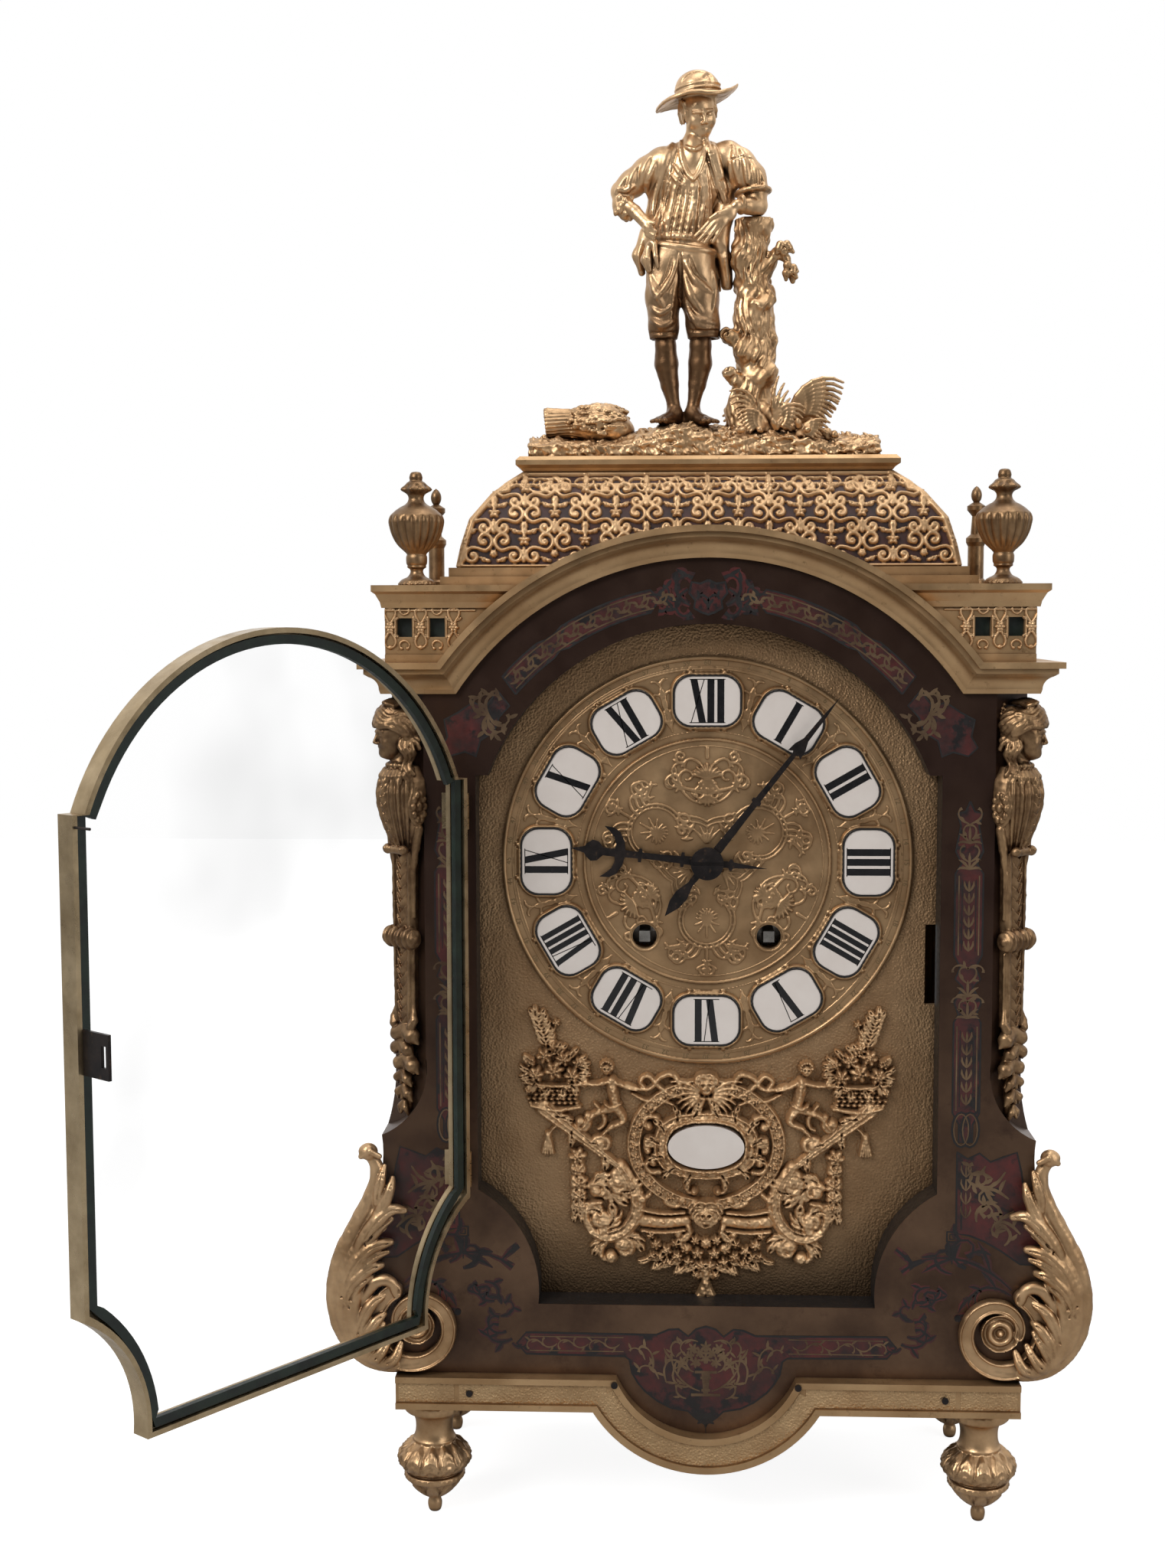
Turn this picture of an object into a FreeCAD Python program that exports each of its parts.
import FreeCAD, Part
import math
import os
from FreeCAD import Vector

# A marquetry table clock with gilt mounts and a standing figure on top, in millimetres.
# The origin lies midway between the tips of the four feet, where the clock stands.
# X runs to the right, Z runs up, and the dial looks towards -Y.
# The front door is drawn open, as it rests. It closes by turning about its hinge.

# Case
base_bottom_z = 65.0
base_height = 17.0
base_half_width = 158.5
base_front_y = -74.0
body_half_width = 160.0
side_board_thickness = 10.0
case_front_y = -66.0
front_board_thickness = 18.0
case_rear_y = 70.0
back_frame_thickness = 8.0
console_height = 124.0
console_reach = 33.0
scoop_height = 40.0
corner_half_width = 142.0
crown_bottom_z = 430.4
crown_height = 15.6
frieze_height = 27.0
cornice_height = 11.2
plinth_height = 9.1

# Opening in the front, with its arch
opening_half_width = 116.0
opening_bottom_z = 118.6
opening_arch_r = 118.0
arch_centre_z = 347.0
shoulder_step = 6.0
lower_corner_width = 30.5
lower_corner_height = 59.4

# Dial and movement
dial_centre_z = 344.6
dial_plate_thickness = 3.0
winder_offset_x = 31.5
winder_drop = 38.3

# Front door
door_gap = 0.6
door_thickness = 10.0
door_front_y = -71.0
door_hinge_x = -121.8
door_hinge_y = -70.1
door_open_deg = 127.7

# Small values shared by the whole clock
overrun = 5.0
running_gap = 0.05
body_gap = 0.3

base_top_z = base_bottom_z + base_height
cusp_z = base_top_z + console_height
case_front_back_y = case_front_y + front_board_thickness
crown_top_z = crown_bottom_z + crown_height
frieze_top_z = crown_top_z + frieze_height
cornice_top_z = frieze_top_z + cornice_height
plinth_top_z = cornice_top_z + plinth_height
side_inner_x = body_half_width - side_board_thickness
back_frame_y = case_rear_y - back_frame_thickness


def front_place(y):
    return lambda x, z: Vector(x, y, z)


def edges_of(steps, place):
    """Edges along steps: two numbers are a straight run, four an arc through the first two."""
    here = tuple(steps[0])
    first = here
    edges = []
    for step in steps[1:]:
        end = tuple(step[-2:])
        if len(step) == 4:
            edges.append(Part.Arc(place(*here), place(*step[:2]), place(*end)).toShape())
        elif end != here:
            edges.append(Part.makeLine(place(*here), place(*end)))
        here = end
    if here != first:
        edges.append(Part.makeLine(place(*here), place(*first)))
    return edges


def face_of(steps, place):
    return Part.Face(Part.Wire(edges_of(steps, place)))


def slab(steps, y_front, y_back):
    """A plate with the outline of steps, seen from the front."""
    return face_of(steps, front_place(y_front)).extrude(Vector(0, y_back - y_front, 0))


def side_slab(steps, x_low, x_high):
    """A plate with the outline of steps in Y and Z."""
    return face_of(steps, lambda y, z: Vector(x_low, y, z)).extrude(Vector(x_high - x_low, 0, 0))


def level_slab(steps, z_low, z_high):
    """A plate with the outline of steps in X and Y."""
    return face_of(steps, lambda x, y: Vector(x, y, z_low)).extrude(Vector(0, 0, z_high - z_low))


def symmetric(half):
    """A closed outline from its right half, which runs from the centre line back to it."""
    whole = list(half)
    for at in range(len(half) - 1, 0, -1):
        before = half[at - 1][-2:]
        step = half[at]
        if len(step) == 4:
            whole.append((-step[0], step[1], -before[0], before[1]))
        else:
            whole.append((-before[0], before[1]))
    return whole


def scaled(shares, width, height, x=0.0, z=0.0):
    """Steps from shares of a width and a height."""
    steps = []
    for share in shares:
        step = []
        for at, value in enumerate(share):
            step.append(x + value * width if at % 2 == 0 else z + value * height)
        steps.append(tuple(step))
    return steps


def turned(steps, x, y):
    """A piece turned about an upright axis, from steps of radius and height."""
    face = face_of(steps, lambda r, z: Vector(x + r, y, z))
    return face.revolve(Vector(x, y, 0), Vector(0, 0, 1), 360)


def turned_in_depth(steps, x, z):
    """A piece turned about an axis along Y, from steps of radius and Y."""
    face = face_of(steps, lambda r, y: Vector(x + r, y, z))
    return face.revolve(Vector(x, 0, z), Vector(0, 1, 0), 360)


def box(x_low, x_high, y_low, y_high, z_low, z_high):
    corner = Vector(x_low, y_low, z_low)
    return Part.makeBox(x_high - x_low, y_high - y_low, z_high - z_low, corner)


def rod(x, z, radius, y_low, y_high):
    return Part.makeCylinder(radius, y_high - y_low, Vector(x, y_low, z), Vector(0, 1, 0))


def post(x, y, radius, z_low, z_high):
    return Part.makeCylinder(radius, z_high - z_low, Vector(x, y, z_low))


def mirrored(shape):
    return shape.mirror(Vector(0, 0, 0), Vector(1, 0, 0))


def pair(shape):
    return [shape, mirrored(shape)]


def joined(shapes):
    whole = shapes[0].multiFuse(shapes[1:]) if len(shapes) > 1 else shapes[0]
    return whole.removeSplitter()


def stack(levels):
    """A solid through level rectangles, each given as half width, front Y, rear Y and Z."""
    wires = []
    for half, front, rear, z in levels:
        corners = [(-half, front), (half, front), (half, rear), (-half, rear), (-half, front)]
        wires.append(Part.makePolygon([Vector(x, y, z) for x, y in corners]))
    return Part.makeLoft(wires, True, True)


def limb(start, start_r, end, end_r):
    """A tapered round limb with a ball at each end."""
    along = end - start
    parts = [Part.makeSphere(start_r, start), Part.makeSphere(end_r, end)]
    if abs(start_r - end_r) < running_gap:
        parts.append(Part.makeCylinder(start_r, along.Length, start, along))
    else:
        parts.append(Part.makeCone(start_r, end_r, along.Length, start, along))
    return parts


def oval_loft(levels):
    """A smooth solid through level ovals, each given as X, Y, Z, half width and half depth."""
    wires = []
    for x, y, z, wide, deep in levels:
        major, minor = (wide, deep) if wide >= deep else (deep, wide)
        oval = Part.Ellipse(Vector(x, y, z), major, minor).toShape()
        if deep > wide:
            oval.rotate(Vector(x, y, z), Vector(0, 0, 1), 90)
        wires.append(Part.Wire([oval]))
    return Part.makeLoft(wires, True, False)


def fused(parts):
    """One solid of parts that run into each other."""
    whole = parts[0].multiFuse(parts[1:]) if len(parts) > 1 else parts[0]
    return [max(whole.Solids, key=lambda piece: piece.Volume)]


def opening_steps(inset):
    """The outline of the front opening, drawn in by an inset."""
    half = opening_half_width - inset
    radius = opening_arch_r - inset
    shoulder_x = half - shoulder_step
    shoulder_z = arch_centre_z + math.sqrt(radius**2 - shoulder_x**2)
    floor_z = opening_bottom_z + inset
    floor_x = opening_half_width - lower_corner_width - inset
    corner_top_z = opening_bottom_z + lower_corner_height + inset
    middle_x = opening_half_width - corner_middle_share_x * lower_corner_width - slant * inset
    middle_z = opening_bottom_z + corner_middle_share_z * lower_corner_height + slant * inset
    return symmetric([
        (0, floor_z),
        (floor_x, floor_z),
        (middle_x, middle_z, half, corner_top_z),
        (half, shoulder_z),
        (shoulder_x, shoulder_z),
        (radius * slant, arch_centre_z + radius * slant, 0, arch_centre_z + radius),
    ])


slant = math.sqrt(0.5)
corner_middle_share_x = 0.62
corner_middle_share_z = 0.72


# Carcass of oak boards

drop_r = 68.0
drop_centre_z = 101.3
drop_board_r = 62.0
board_hidden_bottom = 3.0
console_shares = [(0.0, 0.016), (0.28, 0.018, 0.50, 0.058), (0.93, 0.14, 1.0, 0.323),
                  (0.95, 0.44, 0.773, 0.532), (0.50, 0.66, 0.333, 0.734), (0.197, 0.86, 0.197, 1.0)]
scoop_shares = [(0.0, 1.0), (0.19, 0.41, 1.0, 0.0)]
arch_inner_r = 150.4
board_arch_r = 158.0


def console_steps(reach_out=0.0):
    return scaled(console_shares, console_reach + reach_out, console_height, base_half_width, base_top_z)


cusp_x = base_half_width + console_shares[-1][-2] * console_reach


def front_board_steps():
    drop_bottom_z = drop_centre_z - drop_board_r
    board_bottom_z = base_bottom_z + board_hidden_bottom
    drop_x = math.sqrt(drop_board_r**2 - (drop_centre_z - board_bottom_z) ** 2)
    scoop = scaled(scoop_shares, cusp_x - corner_half_width, scoop_height, corner_half_width, cusp_z)
    through = scoop[1]
    arch_foot_x = math.sqrt(board_arch_r**2 - (crown_top_z - arch_centre_z) ** 2)
    drop_middle = (drop_board_r * slant, drop_centre_z - drop_board_r * slant)
    steps = [(0, drop_bottom_z), (*drop_middle, drop_x, board_bottom_z)]
    steps += [(base_half_width, board_bottom_z)] + console_steps()
    steps += [(through[0], through[1], corner_half_width, scoop[0][1])]
    steps += [(corner_half_width, crown_top_z), (arch_foot_x, crown_top_z)]
    steps += [(board_arch_r * slant, arch_centre_z + board_arch_r * slant, 0, arch_centre_z + board_arch_r)]
    return symmetric(steps)


lock_slot_height = 41.0
lock_slot_depth = 4.0
lock_slot_outside = 0.5
lock_slot_z = 292.0
hasp_thickness = 1.5
hasp_clearance = 0.8


def lock_slot():
    """Room for the door's hasp in the edge of the opening and in the dial plate."""
    inner_x = opening_half_width - door_gap - door_inner_wall - hasp_thickness - hasp_clearance
    return box(inner_x, opening_half_width + lock_slot_outside,
               case_front_back_y - lock_slot_depth - overrun, case_front_back_y + dial_plate_thickness + overrun,
               lock_slot_z - lock_slot_height / 2, lock_slot_z + lock_slot_height / 2)


def front_board():
    board = slab(front_board_steps(), case_front_y, case_front_back_y)
    opening = slab(opening_steps(0.0), case_front_y - overrun, case_front_back_y + overrun)
    return [board.cut(opening).cut(lock_slot())]


def cant_tool():
    """What the canted corners above the console lose."""
    far_x = body_half_width + console_reach
    scoop = scaled(scoop_shares, cusp_x - corner_half_width, scoop_height, corner_half_width, cusp_z)
    through = scoop[1]
    steps = [(far_x, cusp_z), (cusp_x, cusp_z), (through[0], through[1], corner_half_width, scoop[0][1]),
             (corner_half_width, crown_bottom_z), (far_x, crown_bottom_z)]
    reach = far_x - corner_half_width
    block = slab(steps, case_front_y - overrun, case_front_y + reach)
    wedge = level_slab([(corner_half_width, case_front_y), (far_x, case_front_y + reach),
                        (far_x, case_front_y - overrun), (corner_half_width, case_front_y - overrun)],
                       cusp_z, crown_bottom_z)
    return block.common(wedge)


frieze_core_inset = 4.0
flare_middle_share = 0.1


def side_boards():
    flare_x = body_half_width + flare_middle_share * (cusp_x - body_half_width)
    outer = [(side_inner_x, base_top_z), (base_half_width, base_top_z)] + console_steps()
    outer += [(flare_x, cusp_z + scoop_height / 2, body_half_width, cusp_z + scoop_height)]
    outer += [(body_half_width, crown_top_z), (body_half_width - frieze_core_inset, crown_top_z)]
    outer += [(body_half_width - frieze_core_inset, frieze_top_z), (side_inner_x, frieze_top_z)]
    board = slab(outer, case_front_back_y, back_frame_y)
    post_back_y = case_front_y + body_half_width - corner_half_width
    corner = box(corner_half_width, body_half_width, case_front_y, post_back_y,
                 cusp_z - scoop_height, crown_top_z)
    cut_board = slab(front_board_steps(), case_front_y - overrun, case_front_back_y)
    block = box(0, body_half_width - frieze_core_inset, case_front_y, case_front_back_y,
                crown_top_z, frieze_top_z)
    block = block.cut(rod(0, arch_centre_z, arch_outer_r, case_front_y - overrun, case_front_back_y + overrun))
    side = joined([board, corner.cut(cut_board).cut(block), block])
    side = side.cut(cant_tool())
    return pair(max(side.Solids, key=lambda piece: piece.Volume))


def top_and_bottom_boards():
    bottom = box(-side_band_inner_x, side_band_inner_x, case_front_back_y, case_rear_y, base_bottom_z, base_top_z)
    top = box(-side_inner_x, side_inner_x, case_front_back_y, back_frame_y,
              frieze_top_z, cornice_top_z)
    return [bottom, top]


back_door_half_width = 104.0
back_door_bottom_z = 128.0
back_door_top_z = 436.0
back_door_rise = 22.0


def back_door_steps(inset):
    half = back_door_half_width - inset
    return symmetric([
        (0, back_door_bottom_z + inset),
        (half, back_door_bottom_z + inset),
        (half, back_door_top_z - back_door_rise - inset),
        (half * slant, back_door_top_z - back_door_rise * (1 - slant) * slant - inset, 0, back_door_top_z - inset),
    ])


def back_frame():
    outer = [(0, base_top_z), (base_half_width, base_top_z)] + console_steps()
    outer += [(body_half_width, cusp_z + scoop_height), (body_half_width, crown_top_z)]
    outer += [(body_half_width - frieze_core_inset, crown_top_z)]
    outer += [(body_half_width - frieze_core_inset, frieze_top_z), (0, frieze_top_z)]
    board = slab(symmetric(outer), back_frame_y, case_rear_y)
    return [board.cut(slab(back_door_steps(0.0), back_frame_y - overrun, case_rear_y + overrun))]


# Feet, turned and chased

foot_r = 19.0
front_foot_x = 141.7
front_foot_y = -48.0
rear_foot_y = 56.0
foot_shares = [(0.0, 0.0), (0.16, 0.0), (0.21, 0.065, 0.15, 0.13), (0.42, 0.16, 0.78, 0.28), (0.82, 0.30),
               (0.82, 0.34), (1.06, 0.45, 0.66, 0.62), (0.56, 0.64), (0.50, 0.73, 0.55, 0.82), (0.82, 0.87),
               (0.82, 0.93), (0.68, 0.94), (0.68, 1.0), (0.0, 1.0)]


def feet():
    steps = scaled(foot_shares, foot_r, base_bottom_z)
    places = [(front_foot_x, front_foot_y), (front_foot_x, rear_foot_y)]
    return [turned(steps, side * x, y) for x, y in places for side in (1, -1)]


# Gilt mouldings

fillet_height = 3.2
fillet_relief = 1.6
corner_block_length = 31.5
side_band_inner_x = 148.0


def drop_band(low, high, y_front):
    """The base band between two heights over its lower edge, with its drop in the middle."""
    inner_share = (drop_r - drop_inner_r) / base_height
    low_r = drop_r - low * inner_share
    high_r = drop_r - high * inner_share
    low_z = base_bottom_z + low
    high_z = base_bottom_z + high
    low_x = math.sqrt(low_r**2 - (drop_centre_z - low_z) ** 2)
    high_x = math.sqrt(high_r**2 - (drop_centre_z - high_z) ** 2)
    half = base_half_width
    steps = [(half, low_z), (half, high_z), (high_x, high_z), (0, drop_centre_z - high_r, -high_x, high_z),
             (-half, high_z), (-half, low_z), (-low_x, low_z), (0, drop_centre_z - low_r, low_x, low_z)]
    return slab(steps, y_front, case_front_y)


drop_inner_r = 49.5


def base_mouldings():
    band = drop_band(0.0, base_height, base_front_y + fillet_relief)
    low_fillet = drop_band(0.0, fillet_height, base_front_y)
    high_fillet = drop_band(base_height - fillet_height, base_height, base_front_y)
    front = joined([band, low_fillet, high_fillet])
    block_x = base_half_width - corner_block_length
    cutter = box(-block_x, block_x, base_front_y - overrun, case_front_y + overrun, 0, base_top_z + overrun)
    middle = front.common(cutter)
    ends = front.cut(cutter).Solids
    band_y = [case_front_y, case_rear_y]
    plain = box(side_band_inner_x, base_half_width - fillet_relief, band_y[0], band_y[1], base_bottom_z, base_top_z)
    low = box(side_band_inner_x, base_half_width, band_y[0], band_y[1], base_bottom_z,
              base_bottom_z + fillet_height)
    high = box(side_band_inner_x, base_half_width, band_y[0], band_y[1], base_top_z - fillet_height, base_top_z)
    side = joined([plain, low, high])
    board = slab(front_board_steps(), case_front_y, case_front_back_y)
    side = side.cut(board)
    return [middle] + ends + pair(side)


crown_projection = 13.0
arch_outer_r = arch_inner_r + crown_height
crown_shares = [(0.0, 0.0), (0.0, 0.22), (0.14, 0.27), (0.36, 0.34, 0.55, 0.62), (0.64, 0.78), (0.80, 0.78),
                (0.80, 1.0), (1.0, 1.0), (1.0, 0.0)]


def crown_profile():
    """Steps of height over the moulding's lower edge and of projection from the wall."""
    return scaled(crown_shares, crown_height, crown_projection)


def crown_mouldings():
    profile = crown_profile()
    wall_y = case_front_y
    arch_steps = [(arch_inner_r + s[0], wall_y - s[1]) if len(s) == 2 else
                  (arch_inner_r + s[0], wall_y - s[1], arch_inner_r + s[2], wall_y - s[3]) for s in profile]
    arch = turned_in_depth(arch_steps, 0, arch_centre_z)
    roof = turned_in_depth([(board_arch_r, wall_y), (arch_outer_r, wall_y), (arch_outer_r, case_front_back_y),
                            (board_arch_r, case_front_back_y)], 0, arch_centre_z)
    inner_x = math.sqrt(arch_inner_r**2 - (crown_bottom_z - arch_centre_z) ** 2)
    outer_x = math.sqrt(arch_outer_r**2 - (crown_top_z - arch_centre_z) ** 2)
    lean = (outer_x - inner_x) / crown_height
    high_z = arch_centre_z + arch_outer_r + overrun
    far = outer_x + lean * (high_z - crown_top_z)
    keep = slab([(-inner_x, crown_bottom_z), (-far, high_z), (far, high_z), (inner_x, crown_bottom_z)],
                wall_y - crown_projection - overrun, case_front_back_y + overrun)
    roof_keep = slab([(-outer_x, crown_top_z), (-far, high_z), (far, high_z), (outer_x, crown_top_z)],
                     wall_y - overrun, case_front_back_y + overrun)
    arch = joined([arch.common(keep), roof.common(roof_keep)])
    run_steps = [(wall_y - s[1], crown_bottom_z + s[0]) if len(s) == 2 else
                 (wall_y - s[1], crown_bottom_z + s[0], wall_y - s[3], crown_bottom_z + s[2]) for s in profile]
    end_x = body_half_width + crown_projection
    front_run = side_slab(run_steps, 0, end_x)
    run_keep = slab([(inner_x, crown_bottom_z), (end_x, crown_bottom_z), (end_x, crown_top_z),
                     (outer_x, crown_top_z)], wall_y - crown_projection - overrun, wall_y)
    front_run = front_run.common(run_keep)
    mitre = level_slab([(0, wall_y), (body_half_width, wall_y), (end_x, wall_y - crown_projection), (0, wall_y - crown_projection)],
                       crown_bottom_z, crown_top_z)
    front_run = front_run.common(mitre)
    side_steps = [(body_half_width + s[1], crown_bottom_z + s[0]) if len(s) == 2 else
                  (body_half_width + s[1], crown_bottom_z + s[0], body_half_width + s[3], crown_bottom_z + s[2])
                  for s in profile]
    side_run = slab(side_steps, wall_y - crown_projection, case_rear_y)
    side_mitre = level_slab([(body_half_width, wall_y), (end_x, wall_y - crown_projection),
                             (end_x, case_rear_y), (body_half_width, case_rear_y)], crown_bottom_z, crown_top_z)
    side_run = side_run.common(side_mitre)
    run = joined([front_run, side_run])
    return [arch] + pair(run)


frieze_front_y = -70.0
frieze_window_width = 7.6
frieze_window_height = 9.3
frieze_window_x = [134.0, 150.3]
frieze_window_z = 463.3
frieze_window_pitch = 16.3
frieze_fillet_height = 4.0
frieze_fillet_relief = 1.2


def frieze():
    body_side = body_half_width - frieze_core_inset
    front = box(0, body_half_width, frieze_front_y, case_front_y, crown_top_z, frieze_top_z)
    fillet = box(0, body_half_width, frieze_front_y - frieze_fillet_relief, frieze_front_y,
                 crown_top_z, crown_top_z + frieze_fillet_height)
    front = joined([front, fillet])
    front = front.cut(rod(0, arch_centre_z, arch_outer_r, frieze_front_y - overrun, case_front_y + overrun))
    side = box(body_side, body_half_width, case_front_y, case_rear_y, crown_top_z, frieze_top_z)
    half_height = frieze_window_height / 2
    for x in frieze_window_x:
        front = front.cut(box(x - frieze_window_width / 2, x + frieze_window_width / 2, frieze_front_y - overrun,
                              case_front_y, frieze_window_z - half_height, frieze_window_z + half_height))
    y = case_front_y + frieze_window_pitch / 2
    windows = []
    while y + frieze_window_pitch / 2 < case_rear_y:
        windows.append(box(body_side, body_half_width + overrun, y, y + frieze_window_width,
                           frieze_window_z - half_height, frieze_window_z + half_height))
        y += frieze_window_pitch
    side = side.cut(Part.makeCompound(windows))
    whole = joined([front, side])
    return pair(whole)


cornice_projection = 6.0
cornice_shares = [(0.25, 0.0), (0.35, 0.25), (0.70, 0.60), (1.0, 0.72), (1.0, 1.0)]


def cornice():
    levels = []
    for reach, rise in cornice_shares:
        out = reach * cornice_projection
        levels.append((body_half_width + out, frieze_front_y - out, case_rear_y, frieze_top_z + rise * cornice_height))
    ring = stack(levels)
    ring = ring.cut(box(-side_inner_x, side_inner_x, case_front_back_y, back_frame_y,
                        frieze_top_z - overrun, cornice_top_z + overrun))
    ring = ring.cut(rod(0, arch_centre_z, arch_outer_r, frieze_front_y - cornice_projection - overrun,
                        case_front_back_y))
    return [max(ring.Solids, key=lambda piece: piece.Volume)]


plinth_half_width = 135.0
plinth_front_y = case_front_back_y
plinth_rear_y = 54.0
plinth_step_in = 4.0


def plinth_step():
    middle_z = cornice_top_z + plinth_height / 2
    low = box(-plinth_half_width, plinth_half_width, plinth_front_y, plinth_rear_y, cornice_top_z, middle_z)
    high = box(-plinth_half_width + plinth_step_in, plinth_half_width - plinth_step_in,
               plinth_front_y + plinth_step_in, plinth_rear_y - plinth_step_in, middle_z, plinth_top_z)
    return [joined([low, high])]


# Domed top: a red lined core under a pierced brass skin

dome_half_width = 127.0
dome_top_half_width = 94.0
dome_height = 49.0
dome_front_y = -43.0
dome_rear_y = 47.0
fret_thickness = 1.6
dome_shares = [(1.0, 0.0), (0.93, 0.22), (0.80, 0.50), (0.48, 0.76), (0.22, 0.90), (0.0, 1.0)]
dome_depth_spread = 19.0
fret_hole_r = 4.3
fret_rows_share = [0.20, 0.44, 0.66]
fret_pitch = 13.0
rim_height = 8.0
rim_projection = 4.0


def dome_levels(inset):
    levels = []
    spread = dome_half_width - dome_top_half_width
    for out, rise in dome_shares:
        half = dome_top_half_width + out * spread - inset
        gone = (1.0 - out) * dome_depth_spread
        levels.append((half, dome_front_y + gone + inset, dome_rear_y - gone - inset,
                       plinth_top_z + rise * dome_height))
    return levels


def dome_lining():
    return [stack(dome_levels(fret_thickness))]


def dome_fretwork():
    skin = stack(dome_levels(0.0)).cut(stack(dome_levels(fret_thickness)))
    holes = []
    spread = dome_half_width - dome_top_half_width
    for share in fret_rows_share:
        z = plinth_top_z + share * dome_height
        half = dome_top_half_width + (1.0 - share) * spread - fret_pitch
        count = int(half / fret_pitch)
        for at in range(-count, count + 1):
            holes.append(rod(at * fret_pitch, z, fret_hole_r, dome_front_y - overrun, dome_rear_y + overrun))
        depth = (dome_rear_y - dome_front_y) / 2 - dome_depth_spread - fret_hole_r
        middle_y = (dome_front_y + dome_rear_y) / 2
        for at in (-1, 0, 1):
            centre = Vector(-dome_half_width - overrun, middle_y + at * depth * slant, z)
            holes.append(Part.makeCylinder(fret_hole_r, 2 * (dome_half_width + overrun), centre, Vector(1, 0, 0)))
    skin = skin.cut(Part.makeCompound(holes))
    return skin.Solids


dome_top_z = plinth_top_z + dome_height
rim_shares = [(0.0, 0.0), (0.4, 0.25), (1.0, 0.45), (1.0, 0.75), (0.5, 1.0)]


def dome_rim():
    levels = []
    front = dome_front_y + dome_depth_spread
    rear = dome_rear_y - dome_depth_spread
    for reach, rise in rim_shares:
        out = reach * rim_projection
        levels.append((dome_top_half_width + out, front - out, rear + out, dome_top_z + rise * rim_height))
    return [stack(levels)]


rim_top_z = dome_top_z + rim_height


# Figure group on top

ground_height = 10.7
ground_half_width = 90.0
ground_half_depth = 22.0
ground_y = 2.0
ground_z = rim_top_z
figure_z = ground_z + ground_height
figure_top_z = 748.0
figure_height = figure_top_z - figure_z
figure_x = -14.0
figure_y = 2.0
ground_top_shares = [(-1.0, 0.62), (-0.62, 0.80), (-0.2, 0.92), (0.3, 1.0), (0.62, 0.86), (1.0, 0.58)]
head_r = 10.6
hat_r = 20.7
hat_foot_share = 0.58
hat_top_share = 0.38


def figure_base():
    steps = [(-ground_half_width, ground_z), (ground_half_width, ground_z)]
    steps += [(x * ground_half_width, ground_z + z * ground_height) for x, z in reversed(ground_top_shares)]
    return [slab(steps, ground_y - ground_half_depth, ground_y + ground_half_depth)]


leg_places_share = {
    "left": [(-0.035, 0.0, 0.49), (-0.060, -0.02, 0.26), (-0.055, 0.0, 0.035), (-0.075, -0.07, 0.010)],
    "right": [(0.045, 0.0, 0.49), (0.050, -0.02, 0.26), (0.030, 0.0, 0.035), (0.050, -0.10, 0.010)],
}
leg_radius_shares = [0.056, 0.038, 0.018, 0.016]
arm_places_share = {
    "left": [(-0.085, 0.0, 0.745), (-0.185, 0.02, 0.64), (-0.105, -0.045, 0.565)],
    "right": [(0.115, 0.0, 0.745), (0.185, -0.005, 0.615), (0.070, -0.075, 0.545)],
}
arm_radius_shares = [0.036, 0.032, 0.020]
trunk_shares = [(0.0, 0.0, 0.46, 0.095, 0.062), (0.0, 0.0, 0.55, 0.088, 0.058), (0.004, 0.0, 0.66, 0.105, 0.066),
                (0.010, 0.0, 0.75, 0.112, 0.062), (0.014, 0.0, 0.80, 0.060, 0.045), (0.018, 0.0, 0.85, 0.034, 0.034)]
coat_tail_shares = {
    "left": [(-0.10, 0.035, 0.43, 0.030, 0.022), (-0.09, 0.03, 0.60, 0.040, 0.030), (-0.07, 0.02, 0.74, 0.040, 0.034)],
    "right": [(0.11, 0.035, 0.43, 0.030, 0.022), (0.10, 0.03, 0.60, 0.040, 0.030), (0.08, 0.02, 0.74, 0.040, 0.034)],
}
head_share = (0.030, -0.012, 0.895)
brim_share = (0.028, -0.010, 0.940)
brim_thickness = 2.6
hat_crown_height = 9.6
hat_lean = Vector(0.10, -0.12, 1.0)


def at_figure(x, y, z):
    """A place on the figure, in shares of its height from its feet."""
    return Vector(figure_x + x * figure_height, figure_y + y * figure_height, figure_z + z * figure_height)


def body_loft(shares):
    """A smooth stretch of the body or the clothes, through ovals in shares of the figure's height."""
    levels = []
    for x, y, z, wide, deep in shares:
        spot = at_figure(x, y, z)
        levels.append((spot.x, spot.y, spot.z, wide * figure_height, deep * figure_height))
    return oval_loft(levels)


def limbs(places, radii):
    parts = []
    for at in range(len(places) - 1):
        parts += limb(at_figure(*places[at]), radii[at] * figure_height,
                      at_figure(*places[at + 1]), radii[at + 1] * figure_height)
    return parts


def boy_figure():
    parts = [body_loft(trunk_shares)]
    for side in ("left", "right"):
        parts += limbs(leg_places_share[side], leg_radius_shares)
        parts += limbs(arm_places_share[side], arm_radius_shares)
        parts.append(body_loft(coat_tail_shares[side]))
    brim = at_figure(*brim_share)
    parts.append(Part.makeSphere(head_r, at_figure(*head_share)))
    parts.append(Part.makeCylinder(hat_r, brim_thickness, brim, hat_lean))
    parts.append(Part.makeCone(hat_r * hat_foot_share, hat_r * hat_top_share, hat_crown_height, brim, hat_lean))
    whole = parts[0]
    for piece in parts[1:]:
        whole = whole.fuse(piece)
    around = box(-ground_half_width, ground_half_width, -ground_half_width, ground_half_width,
                 figure_z, figure_z + figure_height)
    return fused([whole.common(around)])


stump_x = 26.5
stump_y = 4.0
stump_top_z = 672.0
stump_r = 10.5


stump_shares = [(0.0, 1.35, 0.0), (0.12, 1.0, 0.15), (0.40, 1.0, 0.25), (0.70, 0.86, -0.05), (1.0, 0.90, -0.25)]
branch_rise_shares = (0.62, 0.78)
branch_reach = 20.0
branch_r = 4.0
knot_r = 4.4
knot_rise_share = 0.36


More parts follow.
